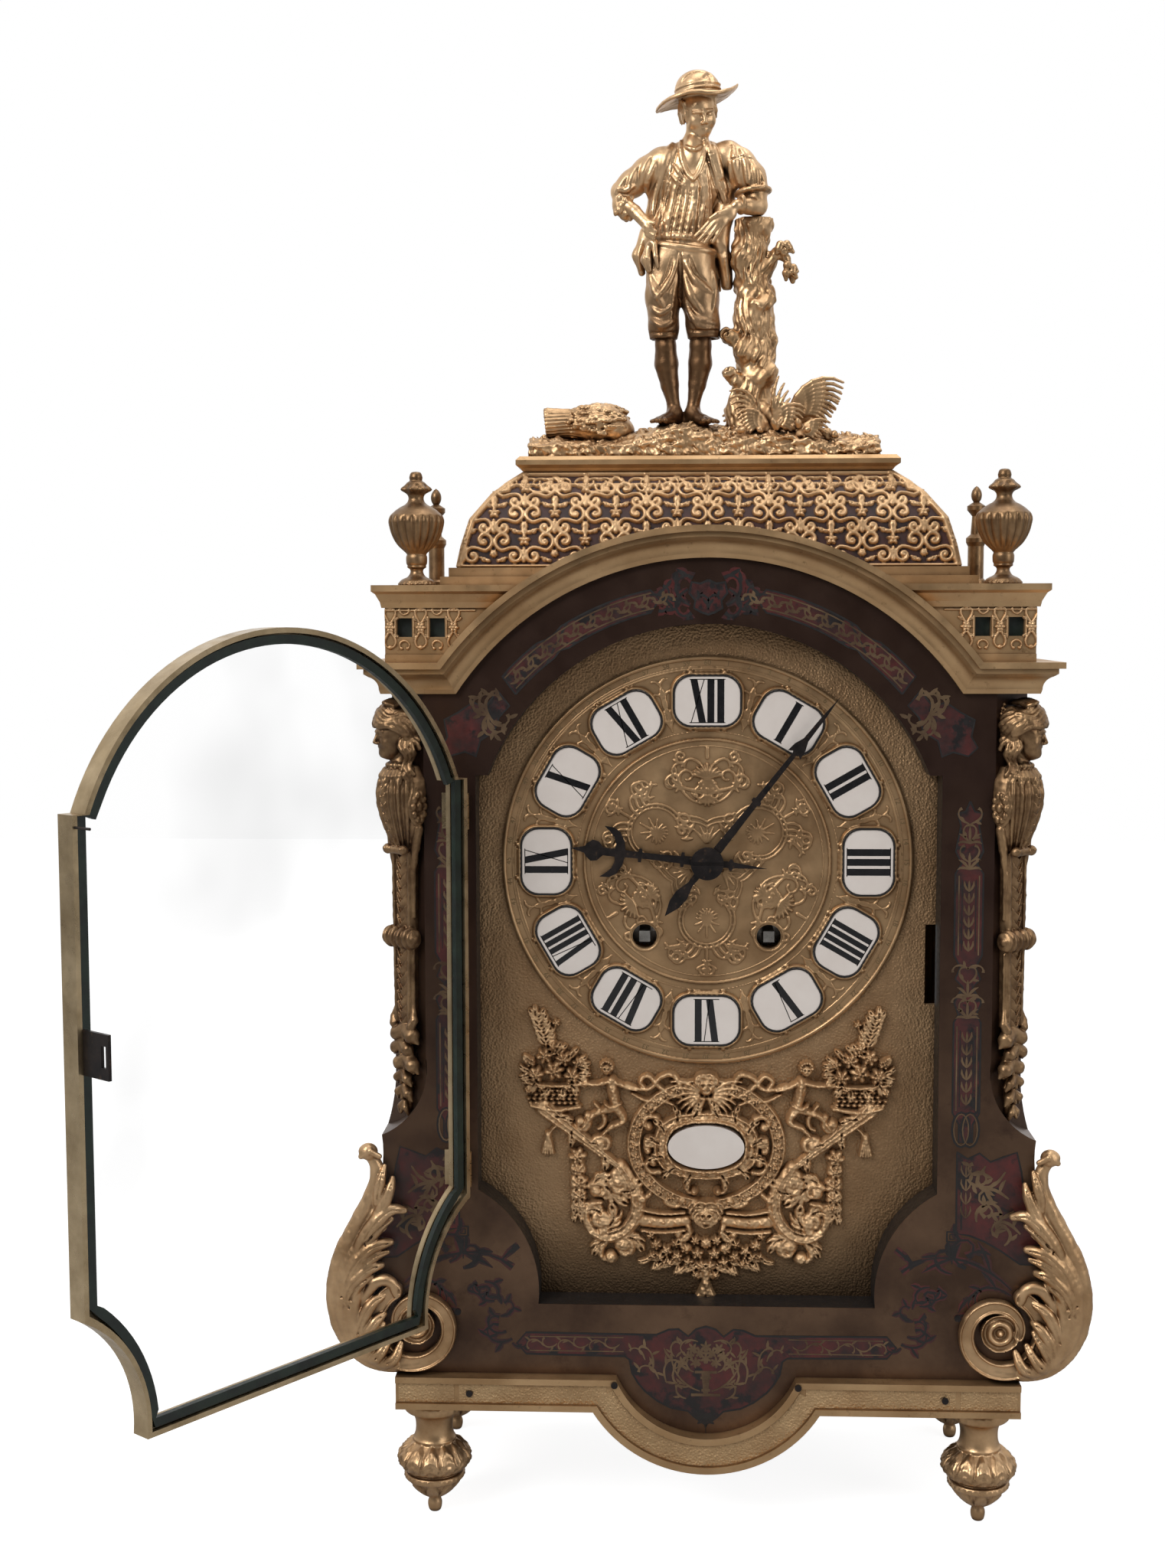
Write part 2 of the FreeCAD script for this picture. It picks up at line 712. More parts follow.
def tree_stump():
    height = stump_top_z - figure_z
    ovals = []
    for rise, size, shift in stump_shares:
        ovals.append((stump_x + shift * stump_r, stump_y, figure_z + rise * height, size * stump_r, size * stump_r))
    low_share, high_share = branch_rise_shares
    branch_start = Vector(stump_x, stump_y, figure_z + low_share * height)
    branch_end = Vector(stump_x + branch_reach, stump_y - branch_r, figure_z + high_share * height)
    knot = Part.makeSphere(knot_r, Vector(stump_x - stump_r, stump_y - knot_r, figure_z + knot_rise_share * height))
    parts = [oval_loft(ovals), knot] + limb(branch_start, branch_r, branch_end, branch_r * slant)
    whole = fused(parts)[0]
    return fused([whole.cut(boy_figure()[0])])


sheaf_length = 50.0
sheaf_end_x = -84.0
sheaf_r = 9.0
sheaf_shares = [(0.0, 0.0), (0.80, 0.0), (0.92, 0.10), (0.62, 0.42), (0.66, 0.50), (1.15, 0.72, 0.70, 0.96), (0.0, 1.0)]


def ground_block():
    """Everything below the top of the ground that the figure stands on."""
    top = [(x * ground_half_width, ground_z + z * ground_height) for x, z in reversed(ground_top_shares)]
    below = [(-ground_half_width, ground_z - ground_height), (ground_half_width, ground_z - ground_height)]
    return slab(below + top, ground_y - ground_half_width, ground_y + ground_half_width)


def wheat_sheaf():
    sheaf = turned(scaled(sheaf_shares, sheaf_r, sheaf_length), 0, 0)
    sheaf.rotate(Vector(0, 0, 0), Vector(0, 1, 0), 90)
    sheaf.translate(Vector(sheaf_end_x, figure_y, figure_z))
    return fused([sheaf.cut(ground_block())])


frond_length = 34.0
frond_r = 6.0
frond_root_x = 46.0
frond_shares = [(-0.6, -0.5, 0.45, -0.35), (-0.1, -0.3, 0.70, -0.15), (0.35, -0.1, 0.85, 0.0), (0.8, -0.3, 0.55, -0.2),
                (0.15, 0.35, 0.70, 0.25)]


def ground_foliage():
    parts = [Part.makeSphere(2 * frond_r, Vector(frond_root_x, figure_y, figure_z - frond_r))]
    for x, y, z, lean in frond_shares:
        root = Vector(frond_root_x + x * frond_r, figure_y + y * frond_length, figure_z)
        tip = root + Vector(x * frond_length, lean * frond_r, z * frond_length)
        parts += limb(root, frond_r, tip, frond_r / 2)
    whole = fused(parts)[0]
    return fused([whole.cut(ground_block()).cut(tree_stump()[0])])


# Finials

urn_x = 145.7
urn_y = -55.7
urn_height = 56.5
urn_r = 14.2
urn_shares = [(0.0, 0.0), (0.62, 0.0), (0.62, 0.05), (0.46, 0.07), (0.26, 0.14, 0.28, 0.22), (0.40, 0.25),
              (0.34, 0.27), (0.98, 0.38, 0.96, 0.56), (0.90, 0.64, 0.50, 0.68), (0.34, 0.72), (0.55, 0.76),
              (0.55, 0.79), (0.24, 0.82), (0.36, 0.89, 0.10, 0.95), (0.05, 1.0), (0.0, 1.0)]
spindle_x = 148.0
spindle_y = 48.5
spindle_height = 54.5
spindle_r = 5.4
spindle_shares = [(0.0, 0.0), (1.0, 0.0), (1.0, 0.06), (0.80, 0.08), (0.80, 0.40), (1.0, 0.44), (1.0, 0.48),
                  (0.55, 0.52), (0.42, 0.70), (0.92, 0.76), (0.92, 0.80), (0.30, 0.84), (0.54, 0.91, 0.20, 0.985),
                  (0.0, 1.0)]


def urn_finials():
    return pair(turned(scaled(urn_shares, urn_r, urn_height, 0, cornice_top_z), urn_x, urn_y))


def rear_finials():
    return pair(turned(scaled(spindle_shares, spindle_r, spindle_height, 0, cornice_top_z), spindle_x, spindle_y))


# Corner mounts

caryatid_top_z = 430.0
caryatid_thickness = 15.0
caryatid_proud_share = 0.45
caryatid_height = 216.0
caryatid_width = 16.0
caryatid_lean = 3.0
caryatid_shares = [(0.05, 0.0), (0.45, 0.01), (0.75, 0.10), (0.95, 0.25), (1.05, 0.30, 0.95, 0.35),
                   (0.95, 0.395), (1.25, 0.425, 0.95, 0.45), (0.95, 0.55), (1.05, 0.58), (1.15, 0.66, 1.55, 0.70),
                   (1.70, 0.75, 1.45, 0.81), (0.95, 0.83), (0.95, 0.86), (1.40, 0.88), (1.62, 0.93, 1.30, 0.98),
                   (0.70, 1.0), (0.05, 0.98), (-0.05, 0.88), (0.05, 0.82), (-0.15, 0.74, 0.0, 0.66),
                   (0.0, 0.46), (0.0, 0.20)]


def caryatids():
    steps = scaled(caryatid_shares, caryatid_width, caryatid_height, corner_half_width + caryatid_lean,
                   caryatid_top_z - caryatid_height)
    front_y = case_front_y - caryatid_thickness * caryatid_proud_share
    block = slab(steps, front_y, case_front_y + 2 * caryatid_thickness)
    far_x = body_half_width + console_reach
    reach = far_x - corner_half_width
    air = level_slab([(corner_half_width, case_front_y), (far_x, case_front_y + reach),
                      (far_x, front_y - overrun), (corner_half_width, front_y - overrun)],
                     cusp_z, crown_bottom_z)
    shape = block.common(air)
    depth = level_slab([(0, front_y - overrun), (far_x, front_y - overrun), (far_x, case_front_y + caryatid_thickness),
                        (0, case_front_y + caryatid_thickness)], cusp_z, crown_bottom_z)
    shape = shape.common(depth).cut(slab(front_board_steps(), case_front_y, case_front_back_y))
    return pair(max(shape.Solids, key=lambda piece: piece.Volume))


scroll_relief = 8.0
scroll_overhang = 2.0
volute_x = 147.0
volute_z = 108.0
volute_r = 25.5
volute_band = 9.0
volute_eye_r = 10.5
leaf_inner_shares = [(0.35, 0.976), (0.24, 0.87), (0.33, 0.82), (0.09, 0.726), (0.35, 0.67), (0.22, 0.605),
                     (0.43, 0.548), (0.28, 0.468), (0.46, 0.42), (0.35, 0.363), (0.43, 0.306), (0.28, 0.065)]
leaf_width = 46.0
leaf_curl_r = 4.2


def scroll_mounts():
    front_y = case_front_y - scroll_relief
    outer = console_steps(scroll_overhang)[1:]
    inner = scaled(leaf_inner_shares, leaf_width, console_height, volute_x, base_top_z)
    steps = [(base_half_width, base_top_z + scroll_overhang)] + outer + inner
    leaf = slab(steps, front_y, case_front_y)
    ring = rod(volute_x, volute_z, volute_r, front_y, case_front_y)
    ring = ring.cut(rod(volute_x, volute_z, volute_r - volute_band, front_y - overrun, case_front_y + overrun))
    eye = rod(volute_x + volute_band / 3, volute_z, volute_eye_r, front_y, case_front_y)
    link = box(volute_x, volute_x + volute_r, front_y, case_front_y, volute_z - volute_band / 2,
               volute_z + volute_band / 2)
    curl = rod(cusp_x + leaf_curl_r, cusp_z - leaf_curl_r / 2, leaf_curl_r, front_y, case_front_y)
    return pair(joined([leaf, ring, eye, link, curl]))


# Dial

dial_r = 103.6
dial_relief = 2.0
dial_margin = 5.0
dial_ring_inner_r = 62.7
cartouche_centre_r = 81.5
cartouche_width = 34.4
cartouche_height = 26.2
cartouche_relief = 1.5
cartouche_corner_r = 9.0
winding_hole_r = 6.2
dial_centre_hole_r = 5.2
dial_front_y = case_front_back_y
dial_face_y = dial_front_y - dial_relief


def dial_plate():
    plate = slab(opening_steps(-dial_margin), dial_front_y, dial_front_y + dial_plate_thickness)
    plate = plate.cut(lock_slot())
    return [plate.cut(dial_holes())]


def dial_holes():
    holes = [rod(0, dial_centre_z, dial_centre_hole_r, dial_face_y - overrun, dial_front_y + 2 * overrun)]
    for side in (-1, 1):
        holes.append(rod(side * winder_offset_x, dial_centre_z - winder_drop, winding_hole_r,
                         dial_face_y - overrun, dial_front_y + 2 * overrun))
    return Part.makeCompound(holes)


def cartouche(hour, y_front, y_back):
    half_width = cartouche_width / 2
    half_height = cartouche_height / 2
    flat_x = half_width - cartouche_corner_r
    flat_z = half_height - cartouche_corner_r
    bend = cartouche_corner_r * slant
    z = dial_centre_z + cartouche_centre_r
    steps = [(-flat_x, z - half_height), (flat_x, z - half_height),
             (flat_x + bend, z - flat_z - bend, half_width, z - flat_z), (half_width, z + flat_z),
             (flat_x + bend, z + flat_z + bend, flat_x, z + half_height), (-flat_x, z + half_height),
             (-flat_x - bend, z + flat_z + bend, -half_width, z + flat_z), (-half_width, z - flat_z),
             (-flat_x - bend, z - flat_z - bend, -flat_x, z - half_height)]
    piece = slab(steps, y_front, y_back)
    return piece.rotate(Vector(0, 0, dial_centre_z), Vector(0, 1, 0), hour * 360 / 12)


def dial_disc():
    disc = rod(0, dial_centre_z, dial_r, dial_face_y, dial_front_y)
    centre = rod(0, dial_centre_z, dial_ring_inner_r, dial_face_y - cartouche_relief / 2, dial_face_y)
    disc = joined([disc, centre])
    for hour in range(12):
        disc = disc.cut(cartouche(hour, dial_face_y - overrun, dial_front_y + overrun))
    return [disc.cut(dial_holes())]


def enamel_cartouches():
    return [cartouche(hour, dial_face_y - cartouche_relief, dial_front_y) for hour in range(12)]


# Pierced mount under the dial, with an oval plaque

mount_half_width = 96.0
mount_bottom_z = 127.0
mount_height = 142.0
mount_relief = 6.0
mount_shares = [(0.0, -0.05), (0.10, 0.06), (0.38, 0.14, 0.50, 0.26), (0.66, 0.30), (0.72, 0.50), (0.88, 0.62),
                (1.0, 0.78), (0.98, 1.0), (0.86, 0.99), (0.80, 0.88), (0.66, 0.78), (0.52, 0.72), (0.40, 0.74),
                (0.20, 0.68), (0.10, 0.75, 0.0, 0.76)]
mount_holes = [(0.30, 0.35, 0.075), (0.30, 0.62, 0.065), (0.52, 0.42, 0.07), (0.58, 0.62, 0.06), (0.14, 0.27, 0.05)]
plaque_z = 198.0
plaque_half_width = 19.5
plaque_half_height = 11.25
plaque_relief = 1.2


def plaque_oval(half_width, half_height, y_front, y_back):
    oval = Part.Ellipse(Vector(0, 0, 0), half_width, half_height).toShape()
    face = Part.Face(Part.Wire([oval]))
    face.rotate(Vector(0, 0, 0), Vector(1, 0, 0), 90)
    face.translate(Vector(0, y_front, plaque_z))
    return face.extrude(Vector(0, y_back - y_front, 0))


def lower_mount():
    steps = symmetric(scaled(mount_shares, mount_half_width, mount_height, 0, mount_bottom_z))
    face_y = dial_front_y - mount_relief
    mount = slab(steps, face_y, dial_front_y)
    mount = mount.cut(plaque_oval(plaque_half_width, plaque_half_height, face_y - overrun, dial_front_y + overrun))
    holes = []
    for x, z, size in mount_holes:
        for side in (-1, 1):
            holes.append(rod(side * x * mount_half_width, mount_bottom_z + z * mount_height,
                             size * mount_half_width, face_y - overrun, dial_front_y + overrun))
    mount = mount.cut(Part.makeCompound(holes))
    mount = mount.cut(rod(0, dial_centre_z, dial_r, face_y - overrun, dial_front_y + overrun))
    return [max(mount.Solids, key=lambda piece: piece.Volume)]


def enamel_plaque():
    face_y = dial_front_y - mount_relief - plaque_relief
    return [plaque_oval(plaque_half_width, plaque_half_height, face_y, dial_front_y)]


# Front door, drawn closed and then swung open about its hinge

door_band = 5.0
door_inner_wall = 2.4
glass_thickness = 3.0
door_lip = 3.0
hinge_z = [372.0, 190.0]
hinge_knuckle_r = 3.0
hinge_pin_r = 1.4
hinge_knuckle_height = 6.0
hinge_leaf_thickness = 1.3
hinge_leaf_width = 11.0
hasp_length = 17.0
hasp_height = 19.0
hasp_slot_width = 3.0
hasp_slot_share = 0.72
hasp_slot_height = 9.0
catch_wire_r = 0.6
catch_wire_length = 10.0


def swung(shapes):
    """Closed door pieces turned to the open rest."""
    for shape in shapes:
        shape.rotate(Vector(door_hinge_x, door_hinge_y, 0), Vector(0, 0, 1), -door_open_deg)
    return shapes


def door_frame():
    glass_y = door_front_y + door_lip
    back_y = door_front_y + door_thickness
    frame = slab(opening_steps(door_gap), door_front_y, back_y)
    frame = frame.cut(slab(opening_steps(door_gap + door_band), door_front_y - overrun, back_y + overrun))
    frame = frame.cut(slab(opening_steps(door_gap + door_inner_wall), glass_y, back_y + overrun))
    return swung([frame])


def door_glass():
    glass_y = door_front_y + door_lip
    return swung([slab(opening_steps(door_gap + door_inner_wall), glass_y, glass_y + glass_thickness)])


def door_catch():
    edge_x = opening_half_width - door_gap - door_inner_wall
    back_y = door_front_y + door_thickness
    foot_y = door_front_y + door_lip + glass_thickness
    hasp = box(edge_x - hasp_thickness, edge_x, foot_y, back_y + hasp_length,
               lock_slot_z - hasp_height / 2, lock_slot_z + hasp_height / 2)
    slot_y = back_y + hasp_length * hasp_slot_share
    slot = box(edge_x - hasp_thickness - overrun, edge_x + overrun, slot_y, slot_y + hasp_slot_width,
               lock_slot_z - hasp_slot_height / 2, lock_slot_z + hasp_slot_height / 2)
    shoulder_x = opening_half_width - shoulder_step - door_gap
    shoulder_z = arch_centre_z + math.sqrt((opening_arch_r - door_gap)**2 - shoulder_x**2)
    wire_z = shoulder_z - door_band
    wire = rod(opening_half_width - door_gap - door_inner_wall / 2, wire_z, catch_wire_r, back_y,
               back_y + catch_wire_length)
    return swung([hasp.cut(slot), wire])


def hinge_levels(z):
    """The three knuckles of a hinge: two on the case and one on the door."""
    half = hinge_knuckle_height / 2
    low = (z - half - hinge_knuckle_height, z - half - body_gap)
    high = (z + half + body_gap, z + half + hinge_knuckle_height)
    return low, (z - half, z + half), high


def door_hinges():
    leaves = []
    edge_x = -(opening_half_width - door_gap)
    for z in hinge_z:
        low_z, high_z = hinge_levels(z)[1]
        knuckle = post(door_hinge_x, door_hinge_y, hinge_knuckle_r, low_z, high_z)
        leaf = box(door_hinge_x, edge_x, door_front_y, door_front_y + 2 * hinge_leaf_thickness, low_z, high_z)
        leaf = joined([knuckle, leaf])
        bore = post(door_hinge_x, door_hinge_y, hinge_pin_r + running_gap, low_z - overrun, high_z + overrun)
        leaves.append(leaf.cut(bore))
    return swung(leaves)


rear_hinge_out = 4.6
rear_hinge_behind = 4.0
rear_hinge_x = back_door_half_width + rear_hinge_out
rear_hinge_y = case_rear_y + rear_hinge_behind
rear_hinge_z = [396.0, 168.0]
rear_hinge_r = 2.8
rear_pin_r = 1.3


def case_hinges():
    pieces = []
    for z in hinge_z:
        low, middle, high = hinge_levels(z)
        pin = post(door_hinge_x, door_hinge_y, hinge_pin_r, low[0], high[1])
        parts = [pin]
        for low_z, high_z in (low, high):
            parts.append(post(door_hinge_x, door_hinge_y, hinge_knuckle_r, low_z, high_z))
            parts.append(box(door_hinge_x - hinge_leaf_width, door_hinge_x, case_front_y - hinge_leaf_thickness,
                             case_front_y, low_z, high_z))
            parts.append(box(door_hinge_x - hinge_leaf_thickness, door_hinge_x, door_hinge_y, case_front_y,
                             low_z, high_z))
        parts.append(box(door_hinge_x - hinge_leaf_width, door_hinge_x - hinge_knuckle_r - 2 * body_gap,
                         case_front_y - hinge_leaf_thickness, case_front_y, low[0], high[1]))
        pieces.append(joined(parts))
    for z in rear_hinge_z:
        low, middle, high = hinge_levels(z)
        parts = [post(rear_hinge_x, rear_hinge_y, rear_pin_r, low[0], high[1])]
        for low_z, high_z in (low, high):
            parts.append(post(rear_hinge_x, rear_hinge_y, rear_hinge_r, low_z, high_z))
            parts.append(box(rear_hinge_x, rear_hinge_x + hinge_leaf_width, case_rear_y,
                             case_rear_y + hinge_leaf_thickness, low_z, high_z))
            parts.append(box(rear_hinge_x, rear_hinge_x + hinge_leaf_thickness, case_rear_y, rear_hinge_y,
                             low_z, high_z))
        pieces.append(joined(parts))
    return pieces


# Back door

back_door_gap = 0.8
back_door_rail = 15.0
back_door_thickness = 8.0
back_glass_thickness = 2.0
knob_r = 6.0
knob_height = 9.0
knob_shares = [(0.0, 0.0), (0.9, 0.0), (0.9, 0.15), (0.45, 0.25), (0.45, 0.5), (1.15, 0.75, 0.6, 1.0), (0.0, 1.0)]


def back_door_frame():
    front_y = case_rear_y - back_door_thickness
    frame = slab(back_door_steps(back_door_gap), front_y, case_rear_y)
    frame = frame.cut(slab(back_door_steps(back_door_rail), front_y - overrun, case_rear_y + overrun))
    frame = frame.cut(slab(back_door_steps(back_door_rail - 2 * back_glass_thickness),
                           front_y - overrun, front_y + back_glass_thickness))
    leaves = []
    edge_x = back_door_half_width - back_door_gap
    for z in rear_hinge_z:
        low_z, high_z = hinge_levels(z)[1]
        knuckle = post(rear_hinge_x, rear_hinge_y, rear_hinge_r, low_z, high_z)
        leaf = box(edge_x - hinge_leaf_width, rear_hinge_x, case_rear_y, case_rear_y + 2 * hinge_leaf_thickness,
                   low_z, high_z)
        leaf = joined([knuckle, leaf])
        bore = post(rear_hinge_x, rear_hinge_y, rear_pin_r + running_gap, low_z - overrun, high_z + overrun)
        leaves.append(leaf.cut(bore))
    return [frame] + leaves


def back_door_glass():
    front_y = case_rear_y - back_door_thickness
    return [slab(back_door_steps(back_door_rail - 2 * back_glass_thickness), front_y, front_y + back_glass_thickness)]


def back_door_knob():
    z = (back_door_bottom_z + back_door_top_z) / 2
    steps = scaled(knob_shares, knob_r, knob_height, 0, case_rear_y)
    return [turned_in_depth(steps, -back_door_half_width + back_door_rail / 2, z)]


# Movement: places of the arbors, from the centre of the dial

plate_thickness = 3.0
front_plate_y = -28.0
plate_gap = 36.0
plate_half_width = 60.0
plate_up = 62.0
plate_down = 68.0
pillar_r = 4.0
pillar_inset = 7.0
pivot_r = 1.0
arbor_r = 1.6
wheel_thickness = 1.5
inner_y = front_plate_y + plate_thickness
rear_plate_y = inner_y + plate_gap
rear_plate_back_y = rear_plate_y + plate_thickness

barrel_teeth = 84
barrel_module = 0.6
great_pinion_leaves = 14
second_wheel_teeth = 80
second_module = 0.5
centre_pinion_leaves = 10
centre_wheel_teeth = 80
centre_module = 0.42
third_pinion_leaves = 8
third_wheel_teeth = 80
third_module = 0.36
escape_pinion_leaves = 8
escape_teeth = 40
escape_r = 11.0
escape_rise = 32.0
anchor_rise = 48.5
strike_wheel_teeth = 78
pin_pinion_leaves = 10
pin_wheel_teeth = 60
pin_module = 0.45
warning_pinion_leaves = 10
warning_wheel_teeth = 54
warning_module = 0.4
fly_pinion_leaves = 10
cannon_leaves = 12
minute_wheel_teeth = 36
cannon_module = 0.5
minute_pinion_leaves = 10
hour_wheel_teeth = 40


def between(module, wheel_teeth, pinion_teeth):
    return module * (wheel_teeth + pinion_teeth) / 2


def meeting(first, first_r, second, second_r, turn):
    """The point at given distances from two places, on one side of the line that joins them."""
    across = (second[0] - first[0], second[1] - first[1])
    apart = math.hypot(*across)
    along = (first_r**2 - second_r**2 + apart**2) / (2 * apart)
    off = turn * math.sqrt(first_r**2 - along**2)
    return (first[0] + (across[0] * along - across[1] * off) / apart,
            first[1] + (across[1] * along + across[0] * off) / apart)


def beside(place, distance, degrees):
    angle = math.radians(degrees)
    return (place[0] + distance * math.cos(angle), place[1] + distance * math.sin(angle))


centre = (0.0, dial_centre_z)
going = (winder_offset_x, dial_centre_z - winder_drop)
strike = (-winder_offset_x, dial_centre_z - winder_drop)
great_distance = between(barrel_module, barrel_teeth, great_pinion_leaves)
second = meeting(centre, between(second_module, second_wheel_teeth, centre_pinion_leaves), going, great_distance, 1)
escape = (0.0, dial_centre_z + escape_rise)
third = meeting(centre, between(centre_module, centre_wheel_teeth, third_pinion_leaves),
                escape, between(third_module, third_wheel_teeth, escape_pinion_leaves), -1)
anchor_at = (0.0, dial_centre_z + anchor_rise)
strike_second = beside(strike, great_distance, 100.0)
pin_at = beside(strike_second, between(second_module, strike_wheel_teeth, pin_pinion_leaves), 55.0)
warning_at = beside(pin_at, between(pin_module, pin_wheel_teeth, warning_pinion_leaves), 80.0)
fly_at = beside(warning_at, between(warning_module, warning_wheel_teeth, fly_pinion_leaves), 75.0)
minute_at = beside(centre, between(cannon_module, minute_wheel_teeth, cannon_leaves), 90.0)
minute_pinion_module = 2 * between(cannon_module, minute_wheel_teeth, cannon_leaves) / (
    hour_wheel_teeth + minute_pinion_leaves)
hammer_arbor_x = -44.0
hammer_arbor_rise = 22.0
hammer_at = (hammer_arbor_x, dial_centre_z + hammer_arbor_rise)

wheel_tooth_shares = (0.60, 0.42, 0.11, 1.15, 0.82)
leaf_tooth_shares = (0.30, 0.32, 0.14, 1.15, 0.65)


def toothed(teeth, module, shares, place, phase, y_low, y_high, bore_r=0.0):
    """A toothed disc, with a tooth centred on the angle phase."""
    root, middle, tip, deep, high = shares
    pitch_r = teeth * module / 2
    pitch = 2 * math.pi / teeth
    points = []
    for tooth in range(teeth):
        for radius, width in ((pitch_r - deep * module, -root), (pitch_r, -middle), (pitch_r + high * module, -tip),
                              (pitch_r + high * module, tip), (pitch_r, middle), (pitch_r - deep * module, root)):
            angle = phase + tooth * pitch + width * pitch / 2
            points.append(Vector(place[0] + radius * math.cos(angle), y_low, place[1] + radius * math.sin(angle)))
    points.append(points[0])
    outline = Part.Wire(Part.makePolygon(points))
    if bore_r:
        hole = Part.makeCircle(bore_r, Vector(place[0], y_low, place[1]), Vector(0, 1, 0))
        face = Part.Face([outline, Part.Wire([hole])])
    else:
        face = Part.Face(outline)
    face.validate()
    return face.extrude(Vector(0, y_high - y_low, 0))


def mesh_phase(leader_at, leader_teeth, leader_phase, follower_at, follower_teeth):
    """The phase at which the follower's gap faces the leader's tooth."""
    way = math.atan2(follower_at[1] - leader_at[1], follower_at[0] - leader_at[0])
    part = (way - leader_phase) * leader_teeth / (2 * math.pi)
    return way + math.pi - (0.5 - part) * 2 * math.pi / follower_teeth


def crossed_wheel(teeth, module, place, phase, y_low, hub_r):
    """A wheel with a rim, a hub and four crossings."""
    y_high = y_low + wheel_thickness
    rim_r = teeth * module / 2 - rim_width
    rim = toothed(teeth, module, wheel_tooth_shares, place, phase, y_low, y_high, rim_r)
    hub = rod(place[0], place[1], hub_r, y_low, y_high)
    reach = rim_r + rim_width / 2
    bars = [box(place[0] - reach, place[0] + reach, y_low, y_high, place[1] - bar_width / 2, place[1] + bar_width / 2),
            box(place[0] - bar_width / 2, place[0] + bar_width / 2, y_low, y_high, place[1] - reach, place[1] + reach)]
    return rim.multiFuse([hub] + bars)


rim_width = 2.6
bar_width = 2.0
hub_r = 3.4


def arbor(place, y_low, y_high, radius=arbor_r):
    """A steel arbor with a pivot in each plate."""
    return [rod(place[0], place[1], radius, y_low, y_high),
            rod(place[0], place[1], pivot_r, front_plate_y, rear_plate_back_y)]




# Depths of the wheels, from the inner face of the front plate

second_depth = 3.0
pin_depth = 12.0
warning_depth = 19.0
third_depth = 19.0
escape_depth = 26.0
centre_depth = 29.5
drum_depth = 8.0
great_depth = 23.0
second_y = inner_y + second_depth
pin_y = inner_y + pin_depth
warning_y = inner_y + warning_depth
third_y = inner_y + third_depth
escape_y = inner_y + escape_depth
centre_y = inner_y + centre_depth
drum_y = inner_y + drum_depth
great_y = inner_y + great_depth
great_thickness = 2.5
end_shake = 0.4
pinion_margin = 1.5

centre_phase = 0.0
centre_pinion_phase = 0.0
third_pinion_phase = mesh_phase(centre, centre_wheel_teeth, centre_phase, third, third_pinion_leaves)
third_phase = 0.0
escape_pinion_phase = mesh_phase(third, third_wheel_teeth, third_phase, escape, escape_pinion_leaves)
second_phase = mesh_phase(centre, centre_pinion_leaves, centre_pinion_phase, second, second_wheel_teeth)
great_pinion_phase = 0.0
barrel_phase = mesh_phase(second, great_pinion_leaves, great_pinion_phase, going, barrel_teeth)
strike_barrel_phase = 0.0
strike_pinion_phase = mesh_phase(strike, barrel_teeth, strike_barrel_phase, strike_second, great_pinion_leaves)
strike_second_phase = 0.0
pin_pinion_phase = mesh_phase(strike_second, strike_wheel_teeth, strike_second_phase, pin_at, pin_pinion_leaves)
pin_phase = 0.0
warning_pinion_phase = mesh_phase(pin_at, pin_wheel_teeth, pin_phase, warning_at, warning_pinion_leaves)
warning_phase = 0.0
fly_pinion_phase = mesh_phase(warning_at, warning_wheel_teeth, warning_phase, fly_at, fly_pinion_leaves)
cannon_phase = 0.0
minute_phase = mesh_phase(centre, cannon_leaves, cannon_phase, minute_at, minute_wheel_teeth)
minute_pinion_phase = 0.0
hour_phase = mesh_phase(minute_at, minute_pinion_leaves, minute_pinion_phase, centre, hour_wheel_teeth)

cannon_bore_r = arbor_r + running_gap
cannon_pipe_r = 3.0
hour_bore_r = cannon_pipe_r + running_gap
hour_pipe_r = 4.2
cannon_out = 5.0
hour_wheel_out = 10.0
hour_hand_out = 4.5
hand_step = 3.0
hand_thickness = 1.2
nut_height = 2.5
cannon_y = front_plate_y - cannon_out
hour_wheel_y = front_plate_y - hour_wheel_out
hour_hand_y = dial_face_y - hour_hand_out
minute_hand_y = hour_hand_y - hand_step
nut_y = minute_hand_y - nut_height


def pinion(leaves, module, place, phase, y_low, y_high):
    return toothed(leaves, module, leaf_tooth_shares, place, phase, y_low, y_high)


def centre_wheel():
    parts = arbor(centre, cannon_y - 2 * plate_thickness, rear_plate_y - end_shake)
    parts.append(crossed_wheel(centre_wheel_teeth, centre_module, centre, centre_phase, centre_y, hub_r))
    parts.append(pinion(centre_pinion_leaves, second_module, centre, centre_pinion_phase,
                        second_y - pinion_margin / 2, second_y + wheel_thickness + pinion_margin / 2))
    return fused(parts)


def going_intermediate():
    parts = arbor(second, inner_y + end_shake, rear_plate_y - end_shake)
    parts.append(crossed_wheel(second_wheel_teeth, second_module, second, second_phase, second_y, hub_r))
    parts.append(pinion(great_pinion_leaves, barrel_module, second, great_pinion_phase,
                        great_y - pinion_margin, great_y + great_thickness + pinion_margin))
    return fused(parts)


def third_wheel():
    parts = arbor(third, inner_y + end_shake, rear_plate_y - end_shake, pivot_r * 1.2)
    parts.append(crossed_wheel(third_wheel_teeth, third_module, third, third_phase, third_y, hub_r))
    parts.append(pinion(third_pinion_leaves, centre_module, third, third_pinion_phase,
                        centre_y - pinion_margin, centre_y + wheel_thickness + pinion_margin))
    return fused(parts)


